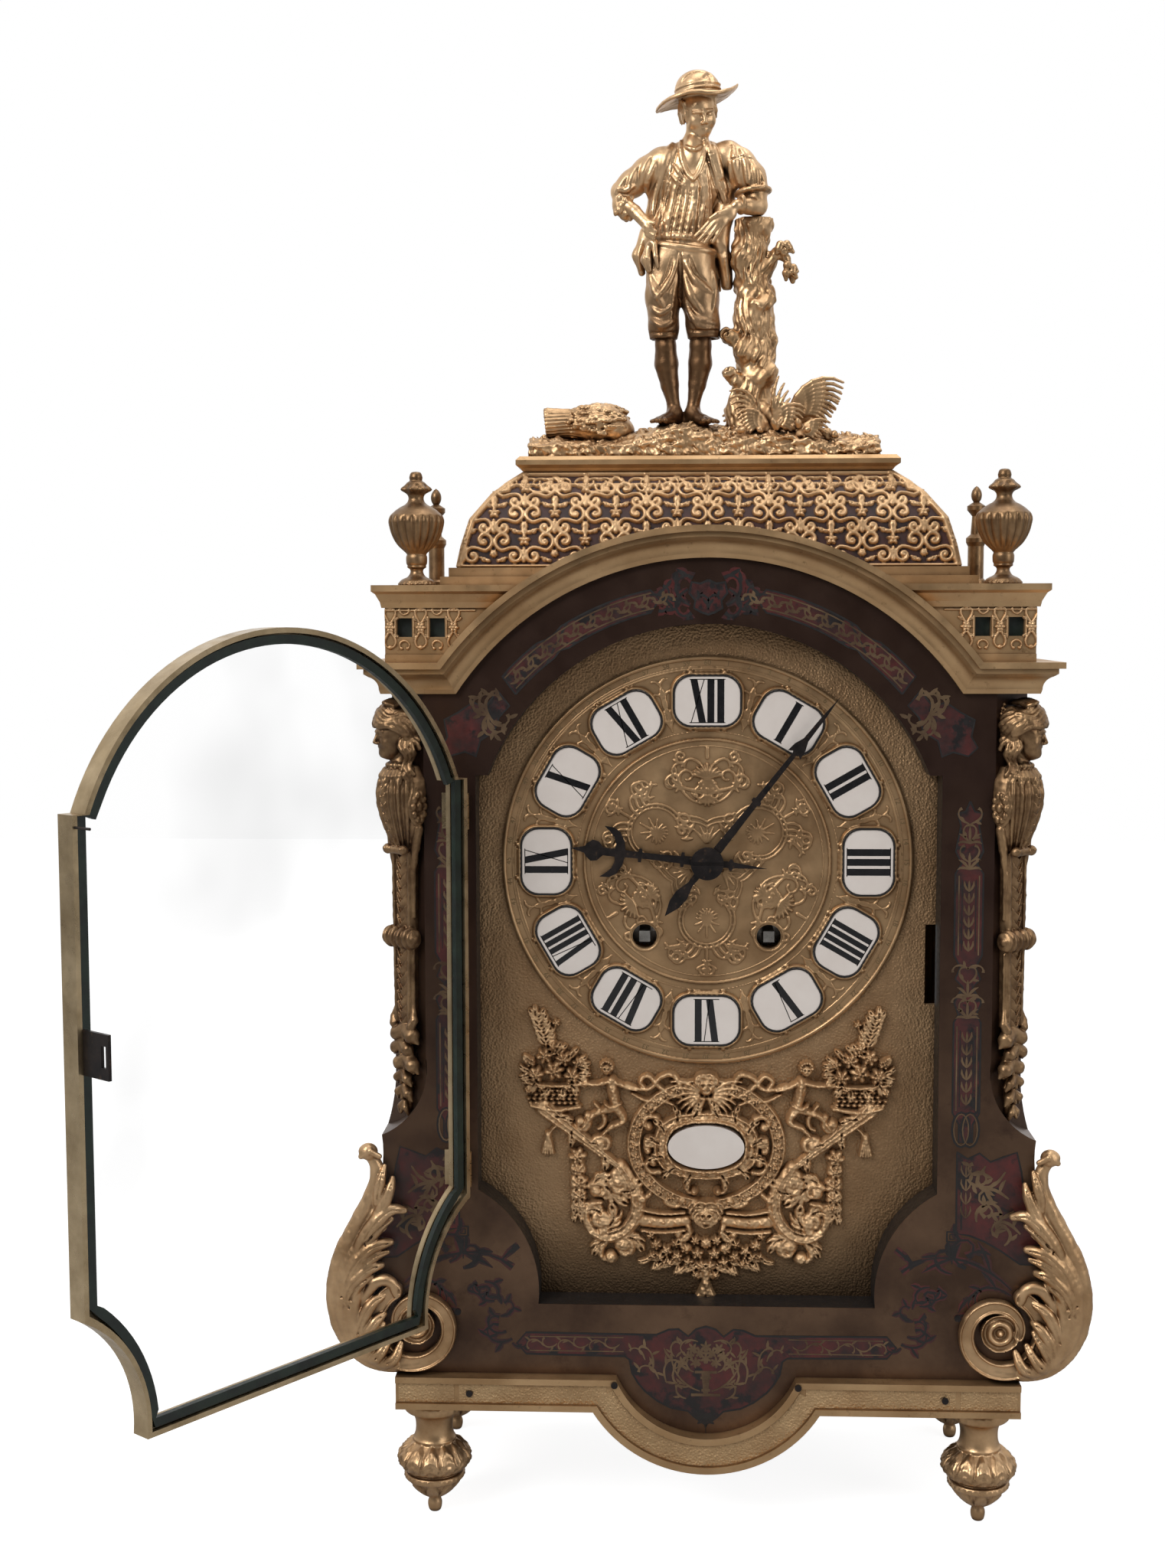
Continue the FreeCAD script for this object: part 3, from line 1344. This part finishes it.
def escape_wheel():
    parts = arbor(escape, inner_y + end_shake, rear_plate_y - end_shake, pivot_r * 1.1)
    parts.append(pinion(escape_pinion_leaves, third_module, escape, escape_pinion_phase,
                        third_y - pinion_margin, third_y + wheel_thickness + pinion_margin))
    points = []
    pitch = 2 * math.pi / escape_teeth
    for tooth in range(escape_teeth):
        angle = tooth * pitch
        points.append(Vector(escape[0] + escape_r * math.cos(angle), escape_y, escape[1] + escape_r * math.sin(angle)))
        angle += 0.55 * pitch
        low_r = escape_r - escape_tooth_depth
        points.append(Vector(escape[0] + low_r * math.cos(angle), escape_y, escape[1] + low_r * math.sin(angle)))
    points.append(points[0])
    disc = Part.Face(Part.Wire(Part.makePolygon(points))).extrude(Vector(0, wheel_thickness, 0))
    parts.append(disc)
    return fused(parts)


escape_tooth_depth = 1.3


barrel_drum_r = 21.5
barrel_arbor_r = 3.0


def barrel(place, phase):
    drum = rod(place[0], place[1], barrel_drum_r, drum_y, great_y)
    great = toothed(barrel_teeth, barrel_module, wheel_tooth_shares, place, phase, great_y, great_y + great_thickness)
    whole = joined([drum, great])
    inside = rod(place[0], place[1], barrel_drum_r - 1.5 * wheel_thickness, drum_y + wheel_thickness,
                 great_y - wheel_thickness)
    bore = rod(place[0], place[1], barrel_arbor_r + running_gap, drum_y - overrun, great_y + great_thickness + overrun)
    return [whole.cut(inside).cut(bore)]


def going_barrel():
    return barrel(going, barrel_phase)


def strike_barrel():
    return barrel(strike, strike_barrel_phase)


ratchet_teeth = 20
ratchet_r = 8.0
ratchet_depth = 1.2
winding_square = 6.0
ratchet_out = 3.5
ratchet_y = front_plate_y - ratchet_out
ratchet_thickness = 2.0
square_proud = 1.0
square_end_y = dial_face_y - square_proud
square_share = 1.3


def winder(place):
    """A barrel arbor with its ratchet wheel and winding square."""
    shaft = rod(place[0], place[1], barrel_arbor_r, ratchet_y, rear_plate_y - end_shake)
    pivot = rod(place[0], place[1], pivot_r * 2, rear_plate_y - end_shake, rear_plate_back_y)
    half = winding_square / 2 * slant * square_share
    square = box(place[0] - half, place[0] + half, square_end_y, ratchet_y, place[1] - half, place[1] + half)
    points = []
    pitch = 2 * math.pi / ratchet_teeth
    for tooth in range(ratchet_teeth):
        for radius, share in ((ratchet_r, 0.0), (ratchet_r - ratchet_depth, 0.15)):
            angle = (tooth + share) * pitch
            points.append(Vector(place[0] + radius * math.cos(angle), ratchet_y, place[1] + radius * math.sin(angle)))
    points.append(points[0])
    ratchet = Part.Face(Part.Wire(Part.makePolygon(points))).extrude(Vector(0, ratchet_thickness, 0))
    return fused([shaft, pivot, square, ratchet])


def going_winder():
    return winder(going)


def strike_winder():
    return winder(strike)


count_wheel_r = 20.0
count_wheel_gap = 2.0
count_wheel_y = rear_plate_back_y + count_wheel_gap
blows_in_a_turn = 90
hours_struck = 12


def strike_intermediate():
    parts = arbor(strike_second, inner_y + end_shake, rear_plate_y - end_shake)
    parts.append(crossed_wheel(strike_wheel_teeth, second_module, strike_second, strike_second_phase, second_y, hub_r))
    parts.append(pinion(great_pinion_leaves, barrel_module, strike_second, strike_pinion_phase,
                        great_y - pinion_margin, great_y + great_thickness + pinion_margin))
    parts.append(rod(strike_second[0], strike_second[1], pivot_r, rear_plate_back_y, count_wheel_y))
    count = rod(strike_second[0], strike_second[1], count_wheel_r, count_wheel_y, count_wheel_y + wheel_thickness)
    notches = []
    turned_so_far = 0
    for blows in range(1, hours_struck + 1):
        turned_so_far += blows + 1
        angle = 2 * math.pi * turned_so_far / blows_in_a_turn
        notches.append(rod(strike_second[0] + count_wheel_r * math.cos(angle),
                           strike_second[1] + count_wheel_r * math.sin(angle), wheel_thickness / 2,
                           count_wheel_y - overrun, count_wheel_y + overrun))
    parts.append(count.cut(Part.makeCompound(notches)))
    return fused(parts)


lift_pins = 10
lift_pin_circle_r = 10.6
lift_pin_r = 0.7
lift_pin_length = 3.0


def pin_wheel():
    parts = arbor(pin_at, inner_y + end_shake, rear_plate_y - end_shake)
    parts.append(toothed(pin_wheel_teeth, pin_module, wheel_tooth_shares, pin_at, pin_phase, pin_y,
                         pin_y + wheel_thickness))
    parts.append(pinion(pin_pinion_leaves, second_module, pin_at, pin_pinion_phase,
                        second_y - pinion_margin / 2, second_y + wheel_thickness + pinion_margin / 2))
    for at in range(lift_pins):
        spot = beside(pin_at, lift_pin_circle_r, at * 360 / lift_pins)
        parts.append(rod(spot[0], spot[1], lift_pin_r, pin_y - lift_pin_length, pin_y))
    return fused(parts)


def warning_wheel():
    parts = arbor(warning_at, inner_y + end_shake, rear_plate_y - end_shake, pivot_r * 1.2)
    parts.append(crossed_wheel(warning_wheel_teeth, warning_module, warning_at, warning_phase, warning_y, hub_r))
    parts.append(pinion(warning_pinion_leaves, pin_module, warning_at, warning_pinion_phase,
                        pin_y - pinion_margin, pin_y + wheel_thickness + pinion_margin))
    return fused(parts)


fly_r = 9.0
fly_length = 11.0
fly_depth = 5.0
fly_y = inner_y + fly_depth


def fly():
    parts = arbor(fly_at, inner_y + end_shake, rear_plate_y - end_shake, pivot_r * 1.1)
    parts.append(pinion(fly_pinion_leaves, warning_module, fly_at, fly_pinion_phase,
                        warning_y - pinion_margin / 2, warning_y + wheel_thickness + pinion_margin))
    vane = wheel_thickness / 2
    parts.append(box(fly_at[0] - fly_r, fly_at[0] + fly_r, fly_y, fly_y + fly_length,
                     fly_at[1] - vane / 2, fly_at[1] + vane / 2))
    return fused(parts)


bell_x = 18.0
bell_rise = 72.0
bell_r = 32.0
bell_wall = 2.0
bell_depth = 14.0
bell_y = 32.0
bell_post_width = 7.0
bell_post_thickness = 2.2
bell_flat_share = 0.5
bell_shoulder_share = 0.92
bell_curve_share = 0.25
hammer_level_share = 0.75
hammer_back_y = bell_y + bell_depth * hammer_level_share
hammer_head_r = 3.6
hammer_gap = 1.6
hammer_stick_r = 1.1


def bell():
    z = dial_centre_z + bell_rise
    curve_y = bell_y + bell_depth * bell_curve_share
    outer = [(0, bell_y), (bell_r * bell_flat_share, bell_y),
             (bell_r * bell_shoulder_share, curve_y, bell_r, bell_y + bell_depth), (0, bell_y + bell_depth)]
    inner_r = bell_r - bell_wall
    inner = [(0, bell_y + bell_wall), (inner_r * bell_flat_share, bell_y + bell_wall),
             (inner_r * bell_shoulder_share, curve_y + bell_wall, inner_r, bell_y + bell_depth + bell_wall),
             (0, bell_y + bell_depth + bell_wall)]
    cup = turned_in_depth(outer, bell_x, z).cut(turned_in_depth(inner, bell_x, z))
    post_bottom_z = dial_centre_z + plate_up - 3 * bell_post_width
    bar = box(bell_x - bell_post_width / 2, bell_x + bell_post_width / 2, rear_plate_back_y,
              rear_plate_back_y + bell_post_thickness, post_bottom_z, z + bell_post_width / 2)
    stud = rod(bell_x, z, bell_post_width / 2 - bell_post_thickness / 2, rear_plate_back_y + bell_post_thickness, bell_y)
    nut = rod(bell_x, z, bell_post_width / 2, bell_y + bell_wall, bell_y + 2.5 * bell_wall)
    return [cup, joined([bar, stud]), nut]


def hammer():
    head = (bell_x - bell_r - hammer_head_r - hammer_gap, dial_centre_z + bell_rise)
    parts = arbor(hammer_at, inner_y + end_shake, rear_plate_y - end_shake)
    parts.append(rod(hammer_at[0], hammer_at[1], pivot_r, rear_plate_back_y, hammer_back_y + hammer_stick_r))
    start = Vector(hammer_at[0], hammer_back_y, hammer_at[1])
    end = Vector(head[0], hammer_back_y, head[1])
    parts.append(Part.makeCylinder(hammer_stick_r, (end - start).Length, start, end - start))
    parts.append(rod(head[0], head[1], hammer_head_r, hammer_back_y - hammer_head_r, hammer_back_y + hammer_head_r))
    tail_end = beside(pin_at, lift_pin_circle_r + 4 * lift_pin_r, 148.0)
    tail_start = Vector(hammer_at[0], pin_y - lift_pin_length / 2, hammer_at[1])
    tail_stop = Vector(tail_end[0], pin_y - lift_pin_length / 2, tail_end[1])
    parts.append(Part.makeCylinder(lift_pin_r, (tail_stop - tail_start).Length, tail_start, tail_stop - tail_start))
    return fused(parts)


# Anchor, crutch and pendulum

pallet_reach = 12.5
pallet_width = 9.6
pallet_drop = 6.6
crutch_length = 38.0
crutch_gap = 1.4
crutch_y = rear_plate_back_y + crutch_gap
pendulum_y = 24.0
rod_width = 4.0
rod_thickness = 1.5
pendulum_length = 200.0
bob_r = 23.0
bob_half_thickness = 6.0
bob_flat_share = 0.62
bob_edge_share = 0.72
spring_share = 0.4
suspension_gap = 0.3
rating_nut_r = 4.0


def anchor():
    x, z = anchor_at
    parts = arbor(anchor_at, inner_y + end_shake, rear_plate_back_y, pivot_r * 1.2)
    parts.append(rod(x, z, pivot_r, rear_plate_back_y, cock_bridge_y + cock_bridge_thickness))
    arch_r = pallet_reach
    low_z = z - pallet_drop
    thick = wheel_thickness
    steps = symmetric([(0, z + 2 * thick), (pallet_width, low_z + thick), (arch_r, low_z - 2 * thick),
                       (arch_r - thick, low_z - 2 * thick), (0, z - thick)][::-1])
    parts.append(slab(steps, escape_y - thick / 4, escape_y + 1.25 * thick))
    parts.append(box(x - thick / 2, x + thick / 2, crutch_y, crutch_y + thick * 0.8, z - crutch_length, z))
    tine_gap = rod_width / 2 + body_gap
    low = z - crutch_length
    parts.append(box(x - tine_gap - thick, x + tine_gap + thick, crutch_y, crutch_y + thick, low - thick, low + thick))
    for side in (-1, 1):
        inner_x = x + side * tine_gap
        outer_x = inner_x + side * thick
        parts.append(box(min(inner_x, outer_x), max(inner_x, outer_x), crutch_y, pendulum_y + 2 * rod_thickness,
                         low - thick, low + thick))
    return fused(parts)


cock_width = 20.0
cock_height = 9.0
cock_bridge_depth = 4.2
cock_bridge_y = rear_plate_back_y + cock_bridge_depth
cock_bridge_thickness = 2.0
cock_depth = 14.5


def suspension_cock():
    x, z = anchor_at
    half = cock_width / 2
    low_z = z + rod_width
    block = box(x - half, x + half, rear_plate_back_y, rear_plate_back_y + cock_depth, low_z, low_z + cock_height)
    bridge = box(x - rod_width, x + rod_width, cock_bridge_y, cock_bridge_y + cock_bridge_thickness,
                 z - rod_width, low_z)
    whole = joined([block, bridge])
    bore = rod(x, z, pivot_r + running_gap, cock_bridge_y - overrun, cock_bridge_y + cock_bridge_thickness + overrun)
    chops = box(x - rod_width, x + rod_width, pendulum_y - rod_thickness, pendulum_y + 2 * rod_thickness,
                z + suspension_gap, low_z)
    return [joined([whole.cut(bore), chops])]


def pendulum():
    x, z = anchor_at
    bob_z = z - pendulum_length
    spring_half = rod_width * spring_share
    spring_y = pendulum_y + rod_thickness * spring_share
    spring_back_y = pendulum_y + rod_thickness * (1 - spring_share)
    spring = box(x - spring_half, x + spring_half, spring_y, spring_back_y, z - 2 * rod_width, z - suspension_gap)
    bar = box(x - rod_width / 2, x + rod_width / 2, pendulum_y, pendulum_y + rod_thickness,
              bob_z - bob_r - 4 * rating_nut_r, z - 2 * rod_width)
    bar = joined([spring, bar])
    middle_y = pendulum_y + rod_thickness / 2
    flat_r = bob_r * bob_flat_share
    edge = bob_half_thickness * bob_edge_share
    lens = [(0, middle_y - bob_half_thickness), (flat_r, middle_y - edge, bob_r, middle_y),
            (flat_r, middle_y + edge, 0, middle_y + bob_half_thickness)]
    bob = turned_in_depth(lens, x, bob_z)
    bob = bob.cut(box(x - rod_width / 2, x + rod_width / 2, pendulum_y, pendulum_y + rod_thickness,
                      bob_z - 2 * bob_r, bob_z + 2 * bob_r))
    nut_z = bob_z - bob_r - rating_nut_r
    nut = post(x, middle_y, rating_nut_r, nut_z - rod_thickness, nut_z + rod_thickness)
    nut = nut.cut(box(x - rod_width / 2, x + rod_width / 2, pendulum_y, pendulum_y + rod_thickness,
                      nut_z - bob_r, nut_z + bob_r))
    return [bar, bob, nut]


# Frame of the movement

dial_pillar_x = 52.0
dial_pillar_z = [46.0, -56.0]
dial_pillar_r = 3.0
click_thickness = 2.0
click_width = 2.4
click_gap = 0.5


def movement_frame():
    plate_low = dial_centre_z - plate_down
    plate_high = dial_centre_z + plate_up
    front = box(-plate_half_width, plate_half_width, front_plate_y, inner_y, plate_low, plate_high)
    back = box(-plate_half_width, plate_half_width, rear_plate_y, rear_plate_back_y, plate_low, plate_high)
    pivots = [second, third, escape, strike_second, pin_at, warning_at, fly_at, hammer_at]
    holes = [rod(x, z, pivot_r + running_gap, front_plate_y - overrun, rear_plate_back_y + overrun) for x, z in pivots]
    front_holes = [rod(centre[0], centre[1], arbor_r + running_gap, front_plate_y - overrun, inner_y + overrun),
                   rod(anchor_at[0], anchor_at[1], pivot_r + running_gap, front_plate_y - overrun, inner_y + overrun)]
    back_holes = [rod(centre[0], centre[1], pivot_r + running_gap, rear_plate_y - overrun, rear_plate_back_y + overrun),
                  rod(anchor_at[0], anchor_at[1], pivot_r * 3, rear_plate_y - overrun, rear_plate_back_y + overrun)]
    for place in (going, strike):
        front_holes.append(rod(place[0], place[1], barrel_arbor_r + running_gap, front_plate_y - overrun,
                               inner_y + overrun))
        back_holes.append(rod(place[0], place[1], pivot_r * 2 + running_gap, rear_plate_y - overrun,
                              rear_plate_back_y + overrun))
    front = front.cut(Part.makeCompound(holes)).cut(Part.makeCompound(front_holes))
    back = back.cut(Part.makeCompound(holes)).cut(Part.makeCompound(back_holes))
    pieces = [front, back]
    pillar_x = plate_half_width - pillar_inset
    for side in (-1, 1):
        for z in (plate_low + pillar_inset, plate_high - pillar_inset):
            pieces.append(rod(side * pillar_x, z, pillar_r, inner_y, rear_plate_y))
        for rise in dial_pillar_z:
            pieces.append(rod(side * dial_pillar_x, dial_centre_z + rise, dial_pillar_r,
                              dial_front_y + dial_plate_thickness, front_plate_y))
    pieces.append(rod(minute_at[0], minute_at[1], pivot_r, hour_wheel_y - wheel_thickness, front_plate_y))
    for place in (going, strike):
        low_z = place[1] + ratchet_r + click_gap
        click = box(place[0] - click_width / 2, place[0] + 3 * click_width, ratchet_y, ratchet_y + click_thickness,
                    low_z, low_z + click_width)
        foot = rod(place[0] + 2 * click_width, low_z + click_width / 2, click_width / 2, ratchet_y, front_plate_y)
        pieces.append(joined([click, foot]))
    return pieces


# Motion work and hands

hour_hand_length = 69.4
hour_hand_tail = 30.4
minute_hand_length = 106.5
minute_hand_tail = 34.4
hour_hand_deg = 276.0
minute_hand_deg = 38.3
hand_boss_r = 7.2
hour_hand_shares = [(0.0, 0.034), (0.165, 0.030), (0.17, 0.055), (0.19, 0.055), (0.195, 0.026), (0.475, 0.022),
                    (0.48, 0.050), (0.50, 0.050), (0.505, 0.024), (0.60, 0.026), (0.61, 0.085), (0.65, 0.155),
                    (0.70, 0.183), (0.77, 0.187), (0.725, 0.152), (0.69, 0.115), (0.67, 0.060), (0.675, 0.030),
                    (0.76, 0.028), (0.80, 0.070), (0.845, 0.078), (0.875, 0.055), (0.90, 0.024), (1.0, 0.0)]
minute_hand_shares = [(0.0, 0.023), (0.36, 0.0145), (0.365, 0.024), (0.38, 0.024), (0.385, 0.0145), (0.66, 0.011),
                      (0.668, 0.016), (0.655, 0.036), (0.70, 0.031), (0.745, 0.013), (0.88, 0.009), (1.0, 0.0)]
hour_tail_shares = [(0.0, 0.070), (0.36, 0.052), (0.38, 0.095), (0.42, 0.095), (0.44, 0.050), (1.0, 0.0)]
minute_tail_shares = [(0.0, 0.060), (0.40, 0.042), (0.60, 0.100), (0.78, 0.085), (1.0, 0.0)]


def hand_blade(shares, length, tail_shares, tail, y_front):
    """A flat hand that points up, with a short tail."""
    steps = [(0.0, dial_centre_z - tail)]
    for along, wide in reversed(tail_shares[:-1]):
        steps.append((wide * tail, dial_centre_z - along * tail))
    for along, wide in shares[:-1]:
        steps.append((wide * length, dial_centre_z + along * length))
    steps.append((0.0, dial_centre_z + length))
    return slab(symmetric(steps), y_front, y_front + hand_thickness)


def hour_hand():
    blade = hand_blade(hour_hand_shares, hour_hand_length, hour_tail_shares, hour_hand_tail, hour_hand_y)
    blade = blade.fuse(rod(0, dial_centre_z, hand_boss_r, hour_hand_y, hour_hand_y + hand_thickness))
    blade = blade.removeSplitter().cut(rod(0, dial_centre_z, hour_bore_r, hour_hand_y - overrun, hour_hand_y + overrun))
    blade.rotate(Vector(0, 0, dial_centre_z), Vector(0, 1, 0), hour_hand_deg)
    return [blade]


def hour_wheel():
    wheel = toothed(hour_wheel_teeth, minute_pinion_module, wheel_tooth_shares, centre, hour_phase, hour_wheel_y,
                    hour_wheel_y + wheel_thickness)
    pipe = rod(centre[0], centre[1], hour_pipe_r, hour_hand_y + hand_thickness, hour_wheel_y)
    bore = rod(centre[0], centre[1], hour_bore_r, hour_hand_y - overrun, hour_wheel_y + overrun)
    return [joined([wheel, pipe]).cut(bore)]


def minute_wheel():
    y_high = cannon_y + wheel_thickness + pinion_margin
    wheel = toothed(minute_wheel_teeth, cannon_module, wheel_tooth_shares, minute_at, minute_phase,
                    cannon_y + pinion_margin, y_high)
    small = toothed(minute_pinion_leaves, minute_pinion_module, leaf_tooth_shares, minute_at, minute_pinion_phase,
                    hour_wheel_y - pinion_margin / 2, cannon_y + pinion_margin)
    bore = rod(minute_at[0], minute_at[1], pivot_r + running_gap, hour_wheel_y - overrun, front_plate_y)
    return [joined([wheel, small]).cut(bore)]


def cannon_pinion():
    toothed_part = toothed(cannon_leaves, cannon_module, leaf_tooth_shares, centre, cannon_phase, cannon_y,
                           front_plate_y - end_shake)
    pipe = rod(centre[0], centre[1], cannon_pipe_r, minute_hand_y + hand_thickness, cannon_y)
    bore = rod(centre[0], centre[1], cannon_bore_r, cannon_y - 2 * plate_thickness - 2 * end_shake, front_plate_y)
    return [toothed_part.fuse(pipe).cut(bore)]


nut_r = 8.3
nut_slot = 1.6


def minute_hand():
    blade = hand_blade(minute_hand_shares, minute_hand_length, minute_tail_shares, minute_hand_tail, minute_hand_y)
    blade = blade.fuse(rod(0, dial_centre_z, hand_boss_r, minute_hand_y, minute_hand_y + hand_thickness))
    blade = blade.removeSplitter()
    blade.rotate(Vector(0, 0, dial_centre_z), Vector(0, 1, 0), minute_hand_deg)
    nut = rod(0, dial_centre_z, nut_r, nut_y, minute_hand_y)
    nut = nut.cut(box(-nut_r, nut_r, nut_y - overrun, nut_y + nut_slot / 2, dial_centre_z - nut_slot / 2,
                      dial_centre_z + nut_slot / 2))
    return [blade, nut]


# Small screws that hold the mounts

screw_r = 1.7
screw_height = 1.0
inner_screw_x = 46.5
screw_shares = (0.5, 0.86)
screw_places = [(base_half_width - corner_block_length - 2 * fillet_height, screw_shares[0], fillet_relief),
                (inner_screw_x, screw_shares[1], 0.0)]


def case_screws():
    pieces = []
    for x, share, behind in screw_places:
        z = base_bottom_z + share * base_height
        front = base_front_y + behind
        for side in (-1, 1):
            pieces.append(rod(side * x, z, screw_r, front - screw_height, front))
    for side in (-1, 1):
        pieces.append(rod(side * (volute_x - volute_r + volute_band / 2), volute_z + volute_band, screw_r,
                          case_front_y - scroll_relief - screw_height, case_front_y - scroll_relief))
    return pieces


nodes = {
    "front_board": front_board,
    "side_boards": side_boards,
    "top_and_bottom_boards": top_and_bottom_boards,
    "back_frame": back_frame,
    "feet": feet,
    "base_mouldings": base_mouldings,
    "crown_mouldings": crown_mouldings,
    "frieze": frieze,
    "cornice": cornice,
    "plinth_step": plinth_step,
    "dome_lining": dome_lining,
    "dome_fretwork": dome_fretwork,
    "dome_rim": dome_rim,
    "figure_base": figure_base,
    "boy_figure": boy_figure,
    "tree_stump": tree_stump,
    "wheat_sheaf": wheat_sheaf,
    "ground_foliage": ground_foliage,
    "urn_finials": urn_finials,
    "rear_finials": rear_finials,
    "caryatids": caryatids,
    "scroll_mounts": scroll_mounts,
    "dial_plate": dial_plate,
    "dial_disc": dial_disc,
    "enamel_cartouches": enamel_cartouches,
    "lower_mount": lower_mount,
    "enamel_plaque": enamel_plaque,
    "case_hinges": case_hinges,
    "movement_frame": movement_frame,
    "bell": bell,
    "suspension_cock": suspension_cock,
    "case_screws": case_screws,
    "door_frame": door_frame,
    "door_glass": door_glass,
    "door_catch": door_catch,
    "door_hinges": door_hinges,
    "back_door_frame": back_door_frame,
    "back_door_glass": back_door_glass,
    "back_door_knob": back_door_knob,
    "minute_hand": minute_hand,
    "cannon_pinion": cannon_pinion,
    "hour_hand": hour_hand,
    "hour_wheel": hour_wheel,
    "minute_wheel": minute_wheel,
    "centre_wheel": centre_wheel,
    "going_barrel": going_barrel,
    "going_winder": going_winder,
    "going_intermediate": going_intermediate,
    "third_wheel": third_wheel,
    "escape_wheel": escape_wheel,
    "anchor": anchor,
    "pendulum": pendulum,
    "strike_barrel": strike_barrel,
    "strike_winder": strike_winder,
    "strike_intermediate": strike_intermediate,
    "pin_wheel": pin_wheel,
    "warning_wheel": warning_wheel,
    "fly": fly,
    "hammer": hammer,
}

os.makedirs("parts", exist_ok=True)
for name, make in nodes.items():
    pieces = make()
    shape = pieces[0] if len(pieces) == 1 else Part.makeCompound(pieces)
    shape.exportStep("parts/" + name + ".step")
    valid = all(piece.isValid() and piece.isClosed() for piece in shape.Solids)
    print(name, len(shape.Solids), "solids", "ok" if valid else "NOT VALID", round(shape.Volume / 1000, 2), "cm3")
